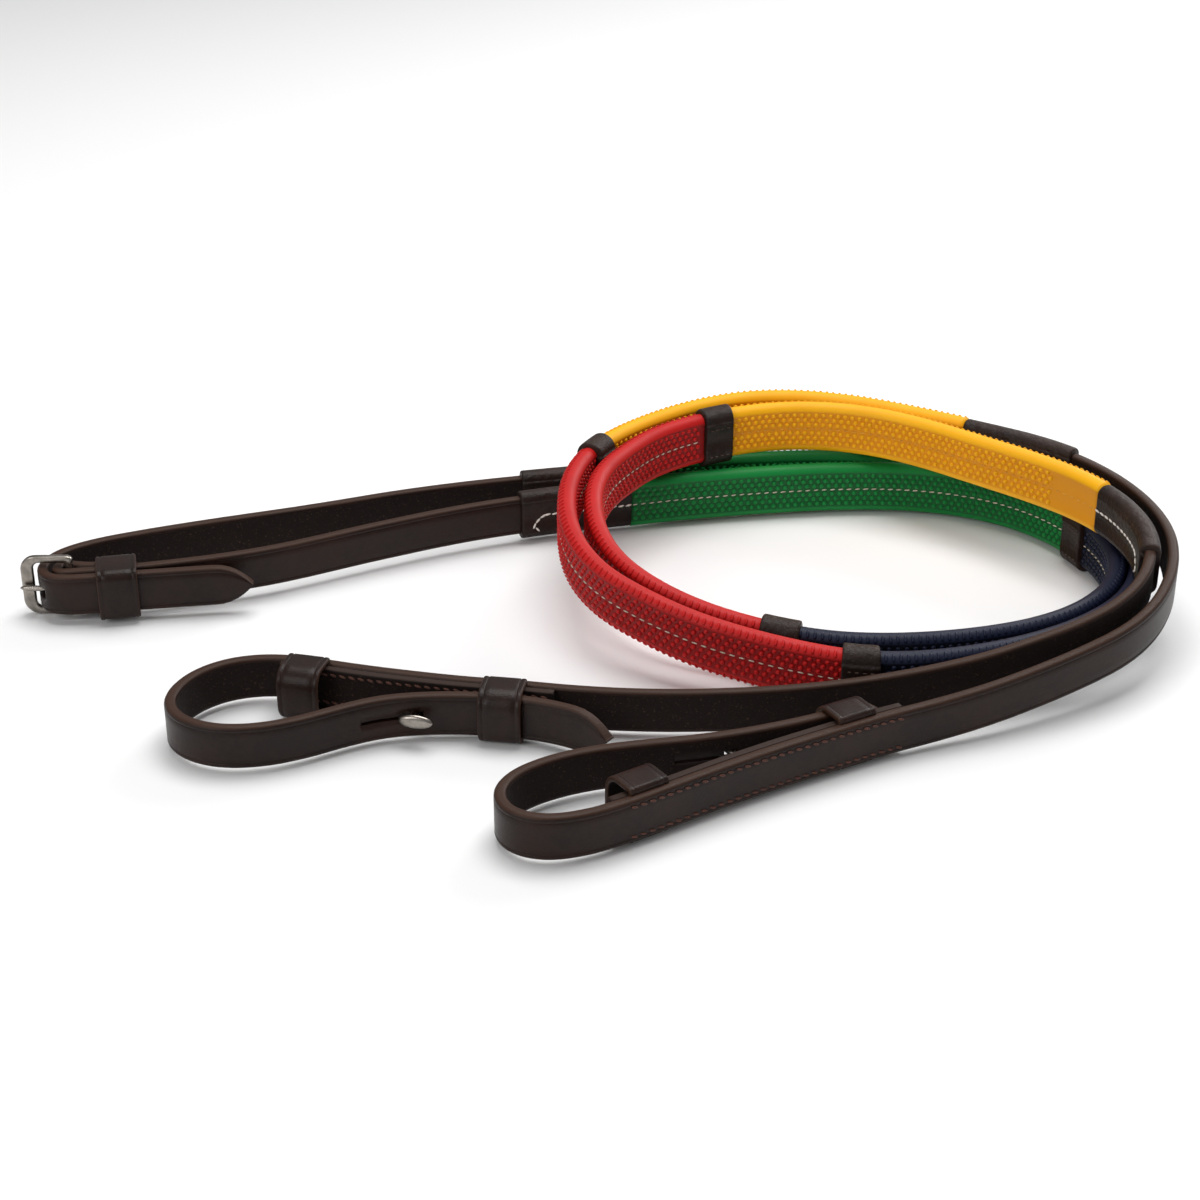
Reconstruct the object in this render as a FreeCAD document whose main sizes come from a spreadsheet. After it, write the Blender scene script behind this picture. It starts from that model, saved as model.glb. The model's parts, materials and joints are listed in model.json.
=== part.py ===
import FreeCAD, Part
import math
import os
import Sketcher

# A pair of riding reins laid down in a coil: two leather straps with rubber hand
# grips, joined by a small buckle, each ending in a hook-stud billet that makes the
# loop for the bit ring. The straps stand on edge. Origin: middle of the footprint, on
# the floor; +Z up, +X to the right along the longest side, +Y to the back. Millimetres.

Vec = FreeCAD.Vector
UP = Vec(0, 0, 1)

# ---------------------------------------------------------------- driving sizes

SIZES = [
    # straps
    ("strap_width", 16.0),
    ("strap_thick", 4.2),
    ("strap_spacing", 4.2),
    ("strap_round", 1.1),
    ("tip_length", 15.0),
    ("lining_thick", 3.0),
    # rubber grips and what covers their ends
    ("grip_height", 21.0),
    ("grip_thick", 7.0),
    ("grip_round", 2.6),
    ("grip_length", 200.0),
    ("last_grip_length", 176.0),
    ("core_inset", 1.5),
    ("core_thick", 2.6),
    ("sleeve_length", 47.0),
    ("sleeve_height", 20.2),
    ("sleeve_thick", 7.8),
    ("sleeve_round", 2.8),
    ("stop_length", 12.5),
    ("stop_wall", 1.8),
    ("fit_gap", 0.1),
    ("soft_gap", 0.4),
    # keepers at the bit end
    ("keeper_length", 15.0),
    ("keeper_wall", 2.0),
    ("keeper_base", 1.3),
    ("keeper_opening", 11.5),
    ("keeper_slack", 0.3),
    ("keeper_round", 1.6),
    # hook stud and the slit that goes over it
    ("stud_neck", 2.8),
    ("stud_head_long", 12.5),
    ("stud_head_tall", 5.2),
    ("stud_head_thick", 2.0),
    ("slit_length", 19.0),
    ("slit_height", 1.2),
    ("slit_hole", 5.2),
    # centre buckle
    ("bar_size", 3.2),
    ("bar_gap", 0.15),
    ("frame_height", 24.4),
    ("frame_reach", 18.6),
    ("frame_side", 3.2),
    ("frame_tip", 4.9),
    ("frame_round", 6.5),
    ("frame_edge", 1.2),
    ("tongue_size", 2.6),
    ("tongue_eye_wall", 1.5),
    ("tongue_eye_height", 3.0),
    ("tongue_play", 0.7),
    ("tongue_hole_length", 19.0),
    ("tongue_hole_gap", 3.4),
    ("tongue_hole_front", 9.6),
    ("tongue_hole_back", 2.4),
    ("chape_slot_length", 12.8),
    ("chape_skived", 2.8),
    ("centre_keeper_front", 2.6),
    ("centre_keeper_rear", 0.9),
]

doc = FreeCAD.newDocument("reins")
sheet = doc.addObject("Spreadsheet::Sheet", "dims")
for row, (alias, value) in enumerate(SIZES, start=1):
    sheet.set("A%d" % row, alias)
    sheet.set("B%d" % row, str(value))
    sheet.setAlias("B%d" % row, alias)
doc.recompute()


def size(alias):
    return float(getattr(sheet, alias))


# ---------------------------------------------------------------- heights

# the stops carry the grips clear of the floor, the keepers carry the bit ends
GRIP_LEVEL = size("grip_height") / 2 + size("stop_wall")
BIT_LEVEL = size("strap_width") / 2 + size("keeper_slack") + size("keeper_wall")

# ---------------------------------------------------------------- routes

# Each rein's middle line, from its centre-buckle end to the tip of its billet, as
# (x, y, lift), where lift is the height above its level along the first turn, for
# grips of the height they were laid out with. The second turn lies on top of the
# first at the left and along the back, and the bit ends lie lower, at BIT.
BIT = BIT_LEVEL - GRIP_LEVEL
LAID_OUT_GRIP = 21.0
BUCKLE_REIN_ROUTE = [
    (-175.1, 34.2, 0), (-184.5, 32.05, 0), (-193.5, 31.3, 0), (-202.4, 33.2, 0),
    (-202.4, 25, 0), (-193.5, 26.4, 0), (-184.5, 27.6, 0), (-171.5, 30.5, 0),
    (-155.5, 34.5, 0), (-137.5, 40.1, 0), (-121.5, 46.6, 0), (-106.5, 54.7, 0),
    (-91, 63.5, 0), (-76.5, 71.1, 0), (-61.5, 78.7, 0), (-46.5, 85.3, 0),
    (-30.5, 91.1, 0), (-10.5, 97.3, 0), (11, 102.7, 0), (32.5, 108.5, 0),
    (55, 113.1, 0), (77.5, 116.7, 0), (99.5, 119.3, 0), (122.5, 119.7, 0),
    (143.5, 116.1, 0), (160.5, 109.1, 0), (173.5, 99.7, 0), (184, 87.9, 0),
    (191.8, 74.1, 0), (197.1, 59.1, 0), (199.5, 44.1, 0), (198.3, 29.1, 0),
    (193.5, 15.1, 0), (185.1, 2.1, 0), (172.9, -9.9, 0), (158, -18.9, 0),
    (141.5, -24.9, 0), (123.5, -28.9, 0), (104.5, -30.6, 0), (86, -29.7, 0.2),
    (67.5, -25.3, 1), (50, -19.7, 3), (33.5, -12.5, 6), (19, -2.5, 9.6),
    (8.7, 9.7, 12.6), (2.5, 24.1, 15.6), (-0.1, 40.1, 18.2), (0.5, 57.1, 20.2),
    (4.9, 72.7, 21.4), (13.5, 87.3, 22.2), (24.1, 101.5, 22.9), (39, 112.7, 23.4),
    (56.5, 120.9, 24), (76.5, 126.5, 24.2), (97.5, 125.9, 24.3), (117.5, 119.1, 24.3),
    (135.5, 107.1, 24.2), (152.5, 92.3, 24), (169, 78.5, 23.7), (183.5, 65.1, 23.2),
    (193.9, 51.5, 22.6), (200.7, 35.5, 22.2), (203.9, 18.5, 21.4), (202.7, 1.7, 19.8),
    (196.9, -12.5, 16.8), (186.5, -24.3, 13.2), (172.1, -33.1, 9.8),
    (155.5, -39.7, 6.6), (137.5, -45.9, 3.4), (118, -51.1, 1.2), (97.5, -55.3, -0.6),
    (76.5, -58.9, -1.6), (55.5, -61.3, BIT), (34, -62.7, BIT), (13.5, -62.3, BIT),
    (-6.5, -60.1, BIT), (-25, -56.5, BIT), (-43.5, -53.9, BIT), (-62.5, -49.9, BIT),
    (-80.5, -45.5, BIT), (-97.5, -40.3, BIT), (-112.5, -37.3, BIT),
    (-126.5, -39.9, BIT), (-137.1, -47.9, BIT), (-143.1, -59.3, BIT),
    (-143.5, -71.3, BIT), (-136.9, -80.9, BIT), (-125.1, -86.3, BIT),
    (-111.1, -85.7, BIT), (-97.5, -80.5, BIT), (-84.9, -72.9, BIT), (-72.5, -66.9, BIT),
    (-59.1, -64.5, BIT), (-44.5, -64.1, BIT), (-29, -65.7, BIT), (-15.5, -69.3, BIT),
    (-3.5, -75.1, BIT), (5.9, -82.3, BIT),
]
POINTED_REIN_ROUTE = [
    (-129, 30.3, 0), (-142.5, 28.9, 0), (-157.5, 26.5, 0), (-173.5, 24, 0),
    (-188.1, 21.4, 0), (-199.9, 20.1, 0), (-206.4, 23, 0), (-208.8, 31.5, 0),
    (-204.7, 42.3, 0), (-193.9, 51.3, 0), (-177.5, 59, 0), (-159.5, 66.3, 0),
    (-140.5, 73.3, 0), (-120.5, 80.3, 0), (-100.5, 88.1, 0), (-81.5, 96.1, 0),
    (-61.5, 102.9, 0), (-40.5, 108.9, 0), (-19.5, 113.9, 0), (2.5, 118.7, 0),
    (24.5, 123.4, 0), (46.5, 127.1, 0), (68.5, 130.5, 0), (90.5, 132.3, 0),
    (112.5, 131.5, 0), (134, 127.5, 0), (154.5, 120.1, 0), (172.9, 110.1, 0),
    (189.1, 98.5, 0), (200.5, 83.7, 0), (207.1, 66.3, 0), (208.5, 47.7, 0),
    (206.3, 29.9, 0), (200.9, 13.1, 0), (192.1, -1.5, 0), (179.5, -14.5, 0),
    (164.5, -25.5, 0), (147.5, -34.3, 0), (129, -40.7, 0), (109.5, -44.3, 0),
    (90, -44.1, 0.6), (71, -40.1, 2.4), (52.5, -34.7, 4.8), (34.5, -27.7, 7.8),
    (18.1, -17.7, 11.2), (4.1, -6.1, 14.4), (-4.9, 8.7, 17.4), (-9.3, 25.5, 20),
    (-10.3, 43.1, 21.4), (-8.7, 61.1, 22), (-3.9, 80.1, 22.4), (6.3, 98.1, 22.8),
    (21.5, 114.3, 23.2), (40.1, 128.7, 23.6), (61.5, 138.5, 23.9), (83.5, 139.9, 24),
    (104.5, 134.7, 24.1), (124.5, 125.1, 24.1), (143.5, 113.9, 24.1),
    (160.9, 102.9, 24.1), (176.9, 92.1, 24), (190.9, 80.7, 23), (201.7, 67.9, 21.4),
    (209.1, 53.7, 20), (213.5, 38.7, 18.6), (214.9, 23.1, 17), (212.7, 7.7, 15),
    (207.9, -6.5, 12.8), (199.5, -21.5, 10.2), (187.3, -34.1, 7.6), (171.1, -44.3, 5),
    (153.5, -53.9, 2.6), (135, -62.7, 0.2), (116, -70.1, -1.6), (97.5, -78.1, BIT),
    (80, -87.9, BIT), (63, -97.5, BIT), (45.5, -108.3, BIT), (29, -119.3, BIT),
    (13.5, -129.9, BIT), (-1.1, -138.3, BIT), (-14.9, -141.5, BIT),
    (-25.9, -136.9, BIT), (-30.1, -126.3, BIT), (-25.7, -115.1, BIT),
    (-14.9, -106.3, BIT), (-0.9, -100.1, BIT), (14.5, -96.5, BIT), (30.5, -93.7, BIT),
    (46.5, -89.9, BIT), (61.5, -84.7, BIT), (75.5, -78.9, BIT), (88.5, -72.3, BIT),
    (100.1, -65.5, BIT),
]

# how far the billet stands off the strap beside the hook stud, roughly
BILLET_STANDOFF = 14.0
BAR_SPOT = Vec(-197.9, 29.1, GRIP_LEVEL)
# share of the shorter run that each bend's tangent takes
BEND_SHARE = 0.45


class Route:
    """A strap's middle line: straight runs joined by tangent arcs."""

    def __init__(self, points):
        stack = size("grip_height") / LAID_OUT_GRIP
        corners = [Vec(x, y, GRIP_LEVEL + min(lift, 0) + max(lift, 0) * stack)
                   for x, y, lift in points]
        self.edges = []
        start = corners[0]
        for before, corner, after in zip(corners, corners[1:], corners[2:]):
            back = (before - corner).normalize()
            ahead = (after - corner).normalize()
            shorter = min((before - corner).Length, (after - corner).Length)
            reach = BEND_SHARE * shorter
            bend_in = corner + back * reach
            bend_out = corner + ahead * reach
            half_turn = (math.pi - back.getAngle(ahead)) / 2
            radius = reach / math.tan(half_turn)
            to_corner = reach / math.sin(half_turn) - radius
            middle = corner + (back + ahead).normalize() * to_corner
            self.edges.append(Part.LineSegment(start, bend_in).toShape())
            self.edges.append(Part.Arc(bend_in, middle, bend_out).toShape())
            start = bend_out
        self.edges.append(Part.LineSegment(start, corners[-1]).toShape())
        self.length = sum(edge.Length for edge in self.edges)

    def between(self, start, end):
        """The part of the line from one distance along it to another, as a wire."""
        pieces = []
        passed = 0.0
        for edge in self.edges:
            low = max(start - passed, 0.0)
            high = min(end - passed, edge.Length)
            if high - low > 0.01:
                first = edge.getParameterByLength(low)
                last = edge.getParameterByLength(high)
                pieces.append(edge.Curve.toShape(first, last))
            passed += edge.Length
        return Part.Wire(pieces)

    def spot(self, distance):
        """Point, heading and left-hand side at a distance along the line."""
        passed = 0.0
        for edge in self.edges:
            if distance <= passed + edge.Length or edge is self.edges[-1]:
                at = edge.getParameterByLength(min(distance - passed, edge.Length))
                heading = edge.tangentAt(at)
                heading.z = 0
                heading.normalize()
                return edge.valueAt(at), heading, UP.cross(heading)
            passed += edge.Length

    def nearest(self, x, y):
        """Distance along the line of the place nearest to (x, y)."""
        target = Vec(x, y, GRIP_LEVEL)
        passed = 0.0
        places = []
        for edge in self.edges:
            first, last = edge.ParameterRange
            at = min(max(edge.Curve.parameter(target), first), last)
            gap = (edge.valueAt(at) - target).Length
            places.append((gap, passed + edge.Curve.length(first, at)))
            passed += edge.Length
        return min(places)[1]


# ---------------------------------------------------------------- shapes along a route

def section(at, side, across, upright, corner):
    """Rounded rectangle wire standing square to the strap at a point of its line."""
    left, right = across
    low, high = upright
    corner = min(corner, (right - left) * 0.45, (high - low) * 0.45)
    middle = at + side * ((left + right) / 2) + UP * ((low + high) / 2)
    half_across = side * ((right - left) / 2)
    half_upright = UP * ((high - low) / 2)
    inset_across = side * corner
    inset_upright = UP * corner
    bulge = corner * (1 - math.sqrt(0.5))
    edges = []
    signs = [(1, 1), (-1, 1), (-1, -1), (1, -1)]
    ends = []
    for across_sign, upright_sign in signs:
        tip = middle + half_across * across_sign + half_upright * upright_sign
        on_side = tip - inset_upright * upright_sign
        on_top = tip - inset_across * across_sign
        mid = tip - (side * across_sign + UP * upright_sign) * bulge
        turn = (on_side, mid, on_top)
        ends.append(turn if across_sign * upright_sign > 0 else turn[::-1])
    for turn, following in zip(ends, ends[1:] + ends[:1]):
        edges.append(Part.Arc(*turn).toShape())
        edges.append(Part.LineSegment(turn[2], following[0]).toShape())
    return Part.Wire(edges)


def sweep(route, start, end, across, upright, corner):
    """Solid strip along a route; its section stays upright all the way."""
    spine = route.between(start, end)
    at, _, side = route.spot(start)
    pipe = Part.BRepOffsetAPI.MakePipeShell(spine)
    pipe.setBiNormalMode(UP)
    pipe.add(section(at, side, across, upright, corner), False, False)
    pipe.build()
    pipe.makeSolid()
    return pipe.shape()


def centred(width):
    return (-width / 2, width / 2)


def tube(route, start, end, outer, inner, corner, wall):
    """Swept sleeve: outer and inner are (thickness, height)."""
    shell = sweep(route, start, end, centred(outer[0]), centred(outer[1]), corner)
    hollow = sweep(route, start, end, centred(inner[0]), centred(inner[1]),
                   max(corner - wall, 0.3))
    return shell.cut(hollow)


def local_box(spot, along, across, upright):
    """Box given by its ranges along the strap, to its left and upwards."""
    at, heading, side = spot
    box = Part.makeBox(along[1] - along[0], across[1] - across[0],
                       upright[1] - upright[0])
    box.translate(Vec(along[0], across[0], upright[0]))
    turn = FreeCAD.Matrix(heading.x, side.x, 0, at.x,
                          heading.y, side.y, 0, at.y,
                          0, 0, 1, at.z,
                          0, 0, 0, 1)
    return box.transformShape(turn, True)


def point_cutter(spot, length, width, thick):
    """What is taken off a strap's end to leave a pointed tip."""
    at, heading, side = spot
    reach = width
    cutters = []
    for sign in (1, -1):
        tail = at - heading * length + UP * (sign * width / 2)
        middle = at - heading * (length * 0.42) + UP * (sign * width * 0.36)
        corner = tail + UP * (sign * reach)
        beyond = at + heading * 2 + UP * (sign * (width / 2 + reach))
        past_tip = at + heading * 2
        outline = Part.Wire([
            Part.Arc(tail, middle, at).toShape(),
            Part.LineSegment(at, past_tip).toShape(),
            Part.LineSegment(past_tip, beyond).toShape(),
            Part.LineSegment(beyond, corner).toShape(),
            Part.LineSegment(corner, tail).toShape(),
        ])
        face = Part.Face(outline)
        face.translate(side * -thick)
        cutters.append(face.extrude(side * (thick * 2)))
    return cutters


SUB_PARTS = []


def add_shape(label, shape, origin=Vec(0, 0, 0)):
    """A sub-part whose shape is swept or cut along its route."""
    shape = shape.copy()
    shape.translate(origin * -1)
    feature = doc.addObject("Part::Feature", label)
    feature.Label = label
    feature.Shape = shape
    feature.Placement = FreeCAD.Placement(origin, FreeCAD.Rotation())
    SUB_PARTS.append(feature)
    return feature


# ---------------------------------------------------------------- bodies from sketches

def origin_plane(body, role):
    return next(f for f in body.Origin.OriginFeatures if f.Role == role)


def new_body(label):
    body = doc.addObject("PartDesign::Body", label)
    body.Label = label
    SUB_PARTS.append(body)
    return body


def new_sketch(body, name, role):
    sketch = body.newObject("Sketcher::SketchObject", name)
    sketch.AttachmentSupport = [(origin_plane(body, role), "")]
    sketch.MapMode = "FlatFace"
    return sketch


def sketch_rectangle(sketch, left, right, low, high):
    """Rectangle whose four sides are set by expressions on the sheet, each measured
    from the sketch's own axes."""
    sides = {"left": left, "right": right, "low": low, "high": high}
    first = sketch.GeometryCount
    corners = [Vec(-1, -1, 0), Vec(1, -1, 0), Vec(1, 1, 0), Vec(-1, 1, 0)]
    for start, end in zip(corners, corners[1:] + corners[:1]):
        sketch.addGeometry(Part.LineSegment(start, end), False)
    for i in range(4):
        sketch.addConstraint(Sketcher.Constraint("Coincident", first + i, 2,
                                                 first + (i + 1) % 4, 1))
    for i, kind in enumerate(("Horizontal", "Vertical") * 2):
        sketch.addConstraint(Sketcher.Constraint(kind, first + i))
    spots = {"left": ("DistanceX", first, 1), "right": ("DistanceX", first, 2),
             "low": ("DistanceY", first, 1), "high": ("DistanceY", first + 2, 1)}
    for name, (kind, line, end) in spots.items():
        index = sketch.addConstraint(Sketcher.Constraint(kind, -1, 1, line, end, 1.0))
        label = "%s%d" % (name, first)
        sketch.renameConstraint(index, label)
        sketch.setExpression("Constraints." + label, sides[name])


def pad(body, sketch, length, symmetric=True):
    feature = body.newObject("PartDesign::Pad", sketch.Name + "_pad")
    feature.Profile = sketch
    feature.SideType = "Symmetric" if symmetric else "One side"
    feature.setExpression("Length", length)
    return feature


def fillet(body, base, radius, chooses):
    """Round the edges of a feature that the test chooses."""
    doc.recompute()
    names = ["Edge%d" % (i + 1) for i, edge in enumerate(base.Shape.Edges)
             if chooses(edge)]
    feature = body.newObject("PartDesign::Fillet", base.Name + "_fillet")
    feature.Base = (base, names)
    feature.setExpression("Radius", radius)
    return feature


def place(body, spot):
    """Body's X along the strap, Y to its left, Z up, at a spot on the route."""
    at, heading, _ = spot
    turn = math.degrees(math.atan2(heading.y, heading.x))
    body.Placement = FreeCAD.Placement(at, FreeCAD.Rotation(UP, turn))


def keeper(label, spot, side, opening):
    """Fixed loop: its base lies under the lining, the rest stands off the strap."""
    body = new_body(label)
    reach = "dims.strap_thick / 2 + dims." + opening
    near = "dims.strap_thick / 2"
    height = "dims.strap_width / 2 + dims.keeper_slack"
    wall = "dims.keeper_wall"
    sketch = new_sketch(body, label + "_ring", "YZ_Plane")
    base = "dims.keeper_base"
    if side > 0:
        sketch_rectangle(sketch, near + " - " + base, reach + " + " + wall,
                         "-(%s + %s)" % (height, wall), height + " + " + wall)
        sketch_rectangle(sketch, near, reach, "-(%s)" % height, height)
    else:
        sketch_rectangle(sketch, "-(%s + %s)" % (reach, wall), base + " - " + near,
                         "-(%s + %s)" % (height, wall), height + " + " + wall)
        sketch_rectangle(sketch, "-(%s)" % reach, "-(%s)" % near, "-(%s)" % height, height)
    ring = pad(body, sketch, "dims.keeper_length")
    far = side * (size("strap_thick") / 2 + size(opening) + size("keeper_wall"))
    body.Tip = fillet(body, ring, "dims.keeper_round", lambda edge: (
        edge.Length > size("keeper_length") * 0.9
        and all(abs(v.Point.y - far) < 0.01 for v in edge.Vertexes)
        and all(abs(v.Point.x) > 1 for v in edge.Vertexes)))
    place(body, spot)
    return body


# ---------------------------------------------------------------- one rein

GRIP_COLOURS = ("green", "navy", "red", "yellow")


def grips_and_covers(rein, route, start):
    """Core, rubber grips, hand stops and the sleeves at both ends of the rubber.
    Returns the distance along the route at which the far sleeve ends."""
    gap = size("fit_gap")
    grip = (size("grip_thick"), size("grip_height"))
    core = (size("core_thick"), size("strap_width") - size("core_inset"))
    slot = (core[0] + 2 * gap, core[1] + 2 * gap)
    sleeve = (size("sleeve_thick"), size("sleeve_height"))
    strap = (size("strap_thick") + 2 * gap, size("strap_width") + 2 * gap)
    stop = (grip[0] + 2 * (gap + size("stop_wall")),
            grip[1] + 2 * size("stop_wall"))
    round_off = size("grip_round")

    at = start + size("sleeve_length")
    joints = [at]
    for colour in GRIP_COLOURS:
        last = colour == GRIP_COLOURS[-1]
        joints.append(joints[-1] + size("last_grip_length" if last else "grip_length"))
    end = joints[-1] + size("sleeve_length")
    for colour, near, far in zip(GRIP_COLOURS, joints, joints[1:]):
        shape = tube(route, near, far, grip, slot, round_off, grip[0] / 2)
        add_shape("%s_%s_grip" % (rein, colour), shape)
    for name, middle in zip(("first", "second", "third"), joints[1:-1]):
        half = size("stop_length") / 2
        shape = tube(route, middle - half, middle + half, stop,
                     (grip[0] + 2 * gap, grip[1]), round_off + size("stop_wall"),
                     size("stop_wall"))
        add_shape("%s_%s_stop" % (rein, name), shape)
    for name, near, far in (("inner", start, joints[0]), ("outer", joints[-1], end)):
        shape = tube(route, near, far, sleeve, strap, size("sleeve_round"),
                     size("sleeve_round") - 0.3)
        add_shape("%s_%s_sleeve" % (rein, name), shape)
    inset = size("sleeve_length") / 2
    add_shape(rein + "_grip_core",
              sweep(route, joints[0] - inset + gap, joints[-1] + inset - gap,
                    centred(core[0]), centred(core[1]), size("fit_gap")))
    return end


def strap_piece(route, start, end):
    return sweep(route, start, end, centred(size("strap_thick")),
                 centred(size("strap_width")), size("strap_round"))


def bit_end(rein, route, start, side, spots):
    """The strap from the outer sleeve round the bit loop to the billet's tip, its
    lining, its two keepers and its hook stud."""
    thick = size("strap_thick")
    width = size("strap_width")
    gap = size("fit_gap")
    strap = strap_piece(route, start - size("sleeve_length") / 2 + gap, route.length)
    for cutter in point_cutter(route.spot(route.length), size("tip_length"), width, thick):
        strap = strap.cut(cutter)

    # lining strip on the flesh side
    lining_start = route.nearest(*spots["lining_start"])
    lining_end = route.nearest(*spots["lining_end"])
    reach = sorted((side * thick / 2, side * (thick / 2 + size("lining_thick"))))
    lining = sweep(route, lining_start, lining_end, reach, centred(width - 1),
                   size("strap_round") / 2)

    # the strap is skived where the keepers' bases pass between it and the lining
    half_keeper = size("keeper_length") / 2
    for number, name in enumerate(("first_keeper", "second_keeper")):
        spot = route.spot(route.nearest(*spots[name]))
        along = (-half_keeper - gap, half_keeper + gap)
        reach = sorted((side * (thick / 2 - size("keeper_base")), side * thick))
        strap = strap.cut(local_box(spot, along, reach, centred(width * 1.5)))
        reach = sorted((0, side * thick / 2))
        lining = lining.cut(local_box(spot, along, reach, centred(width * 1.5)))
        keeper("%s_%s" % (rein, name), spot, side, "keeper_opening")

    # hook stud through the lining, its head outside the billet
    stud_at, heading, left = route.spot(route.nearest(*spots["stud"]))
    inward = left * side
    beyond = stud_at + inward * BILLET_STANDOFF
    slit_along = route.nearest(beyond.x, beyond.y)
    billet_at = route.spot(slit_along)[0]
    billet_gap = (billet_at - stud_at).dot(inward)
    neck_length = billet_gap + thick / 2 + 5 * gap
    lining_hole = Part.makeCylinder(size("stud_neck") / 2 + gap, thick * 3,
                                    stud_at + inward * (thick / 2 - gap), inward)
    add_shape(rein + "_lining", lining.cut(lining_hole))
    slit = slit_cutter(route, slit_along)
    add_shape(rein + "_bit_strap", strap.cut(slit))
    add_stud(rein + "_hook_stud", stud_at, heading, inward, neck_length)


def slit_cutter(route, along):
    """Buttonhole for the stud: a narrow slit with a round hole at each end."""
    spot = route.spot(along)
    reach = centred(size("strap_thick") * 3)
    half = size("slit_height") / 2
    away = size("slit_length")
    cutter = local_box(spot, (-away, 0), reach, (-half, half))
    at, heading, left = spot
    for shift, bore in ((0, size("slit_hole")), (-away, size("slit_hole") * 0.6)):
        centre = at + heading * shift + left * reach[0]
        cutter = cutter.fuse(Part.makeCylinder(bore / 2, reach[1] * 2, centre, left))
    return cutter


def add_stud(label, at, heading, inward, neck_length):
    """Nickel stud: flanged foot on the lining, neck, and an oval head."""
    body = new_body(label)
    radius = size("stud_neck") / 2
    foot = size("strap_thick") / 2
    neck = new_sketch(body, label + "_neck", "XZ_Plane")
    neck.addGeometry(Part.Circle(Vec(0, 0, 0), UP, radius), False)
    neck.addConstraint(Sketcher.Constraint("Coincident", 0, 3, -1, 1))
    index = neck.addConstraint(Sketcher.Constraint("Radius", 0, radius))
    neck.setExpression("Constraints[%d]" % index, "dims.stud_neck / 2")
    post = pad(body, neck, str(neck_length), symmetric=False)
    head = new_sketch(body, label + "_head", "XZ_Plane")
    head.addGeometry(Part.Ellipse(Vec(0, 0, 0), size("stud_head_long") / 2,
                                  size("stud_head_tall") / 2), False)
    head.AttachmentOffset = FreeCAD.Placement(Vec(0, 0, neck_length), FreeCAD.Rotation())
    cap = pad(body, head, "dims.stud_head_thick", symmetric=False)
    body.Tip = cap
    doc.recompute()
    # XZ sketches pad towards -Y, so -Y of the body is turned to point inwards
    turn = math.degrees(math.atan2(inward.y, inward.x)) + 90
    body.Placement = FreeCAD.Placement(at + inward * foot,
                                       FreeCAD.Rotation(UP, turn))


# ---------------------------------------------------------------- buckle rein

buckle_route = Route(BUCKLE_REIN_ROUTE)
BUCKLE_REIN_SPOTS = {
    "first_keeper": (-98.5, -40.1),
    "second_keeper": (-29, -55.9),
    "lining_start": (-12.5, -59.3),
    "lining_end": (-108.5, -37.9),
    "stud": (-56.5, -51.3),
}
grip_start = buckle_route.nearest(-30.5, 91.1)
sleeve_end = grips_and_covers("buckle_rein", buckle_route, grip_start)
bit_end("buckle_rein", buckle_route, sleeve_end, 1, BUCKLE_REIN_SPOTS)

# strap with the chape: folded round the buckle's bar, slotted for the tongue
chape = strap_piece(buckle_route, 0, grip_start + size("sleeve_length") / 2)
slot_half = size("tongue_size") / 2 + size("tongue_play")
bar_corner = size("bar_size") * math.sqrt(0.5)
eye_bore = bar_corner + size("bar_gap")
slot_end = eye_bore + size("tongue_eye_wall") + size("tongue_play")
slot_reach = size("chape_slot_length")
tongue_slot = Part.makeBox(slot_reach, size("strap_width") * 1.2, slot_half * 2,
                           BAR_SPOT + Vec(slot_end - slot_reach,
                                          -size("strap_width") * 0.62, -slot_half))
chape = chape.cut(tongue_slot)
chape = chape.cut(Part.makeCylinder(bar_corner + size("soft_gap"), size("strap_width") * 2,
                                    BAR_SPOT - UP * size("strap_width"), UP))
# the folded-back end is skived thin on its outer side
skive_depth = size("strap_thick") / 2 - size("chape_skived")
skive_end = buckle_route.nearest(-195.5, 31.9)
chape = chape.cut(sweep(buckle_route, 0, skive_end, (-size("strap_thick"), skive_depth),
                        centred(size("strap_width") * 1.5), size("fit_gap")))
add_shape("buckle_rein_buckle_strap", chape)

# keeper round the chape and the other rein's point
centre_keeper = new_body("centre_keeper")
loop = new_sketch(centre_keeper, "centre_keeper_ring", "YZ_Plane")
front = "dims.strap_spacing + dims.strap_thick / 2 + dims.centre_keeper_front"
rear = ("dims.strap_spacing - dims.strap_thick / 2 + dims.chape_skived"
        " + dims.centre_keeper_rear")
half_height = "dims.strap_width / 2 + dims.keeper_slack"
sketch_rectangle(loop, "-(%s + dims.keeper_wall)" % front, rear + " + dims.keeper_wall",
                 "-(%s + dims.keeper_wall)" % half_height,
                 half_height + " + dims.keeper_wall")
sketch_rectangle(loop, "-(%s)" % front, rear, "-(%s)" % half_height, half_height)
band = pad(centre_keeper, loop, "dims.keeper_length")
centre_keeper.Tip = fillet(centre_keeper, band, "dims.keeper_round", lambda edge: (
    edge.Length > size("keeper_length") * 0.9
    and all(abs(v.Point.z) > size("strap_width") / 2 + size("keeper_wall")
            for v in edge.Vertexes)))
place(centre_keeper, buckle_route.spot(buckle_route.nearest(-180.3, 28.5)))

# ---------------------------------------------------------------- pointed rein

pointed_route = Route(POINTED_REIN_ROUTE)
POINTED_REIN_SPOTS = {
    "first_keeper": (18.5, -126.5),
    "second_keeper": (88, -83.3),
    "lining_start": (105.5, -74.7),
    "lining_end": (7.5, -132.9),
    "stud": (54.5, -102.9),
}
grip_start = pointed_route.nearest(-29.5, 111.5)
sleeve_end = grips_and_covers("pointed_rein", pointed_route, grip_start)
bit_end("pointed_rein", pointed_route, sleeve_end, -1, POINTED_REIN_SPOTS)

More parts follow.
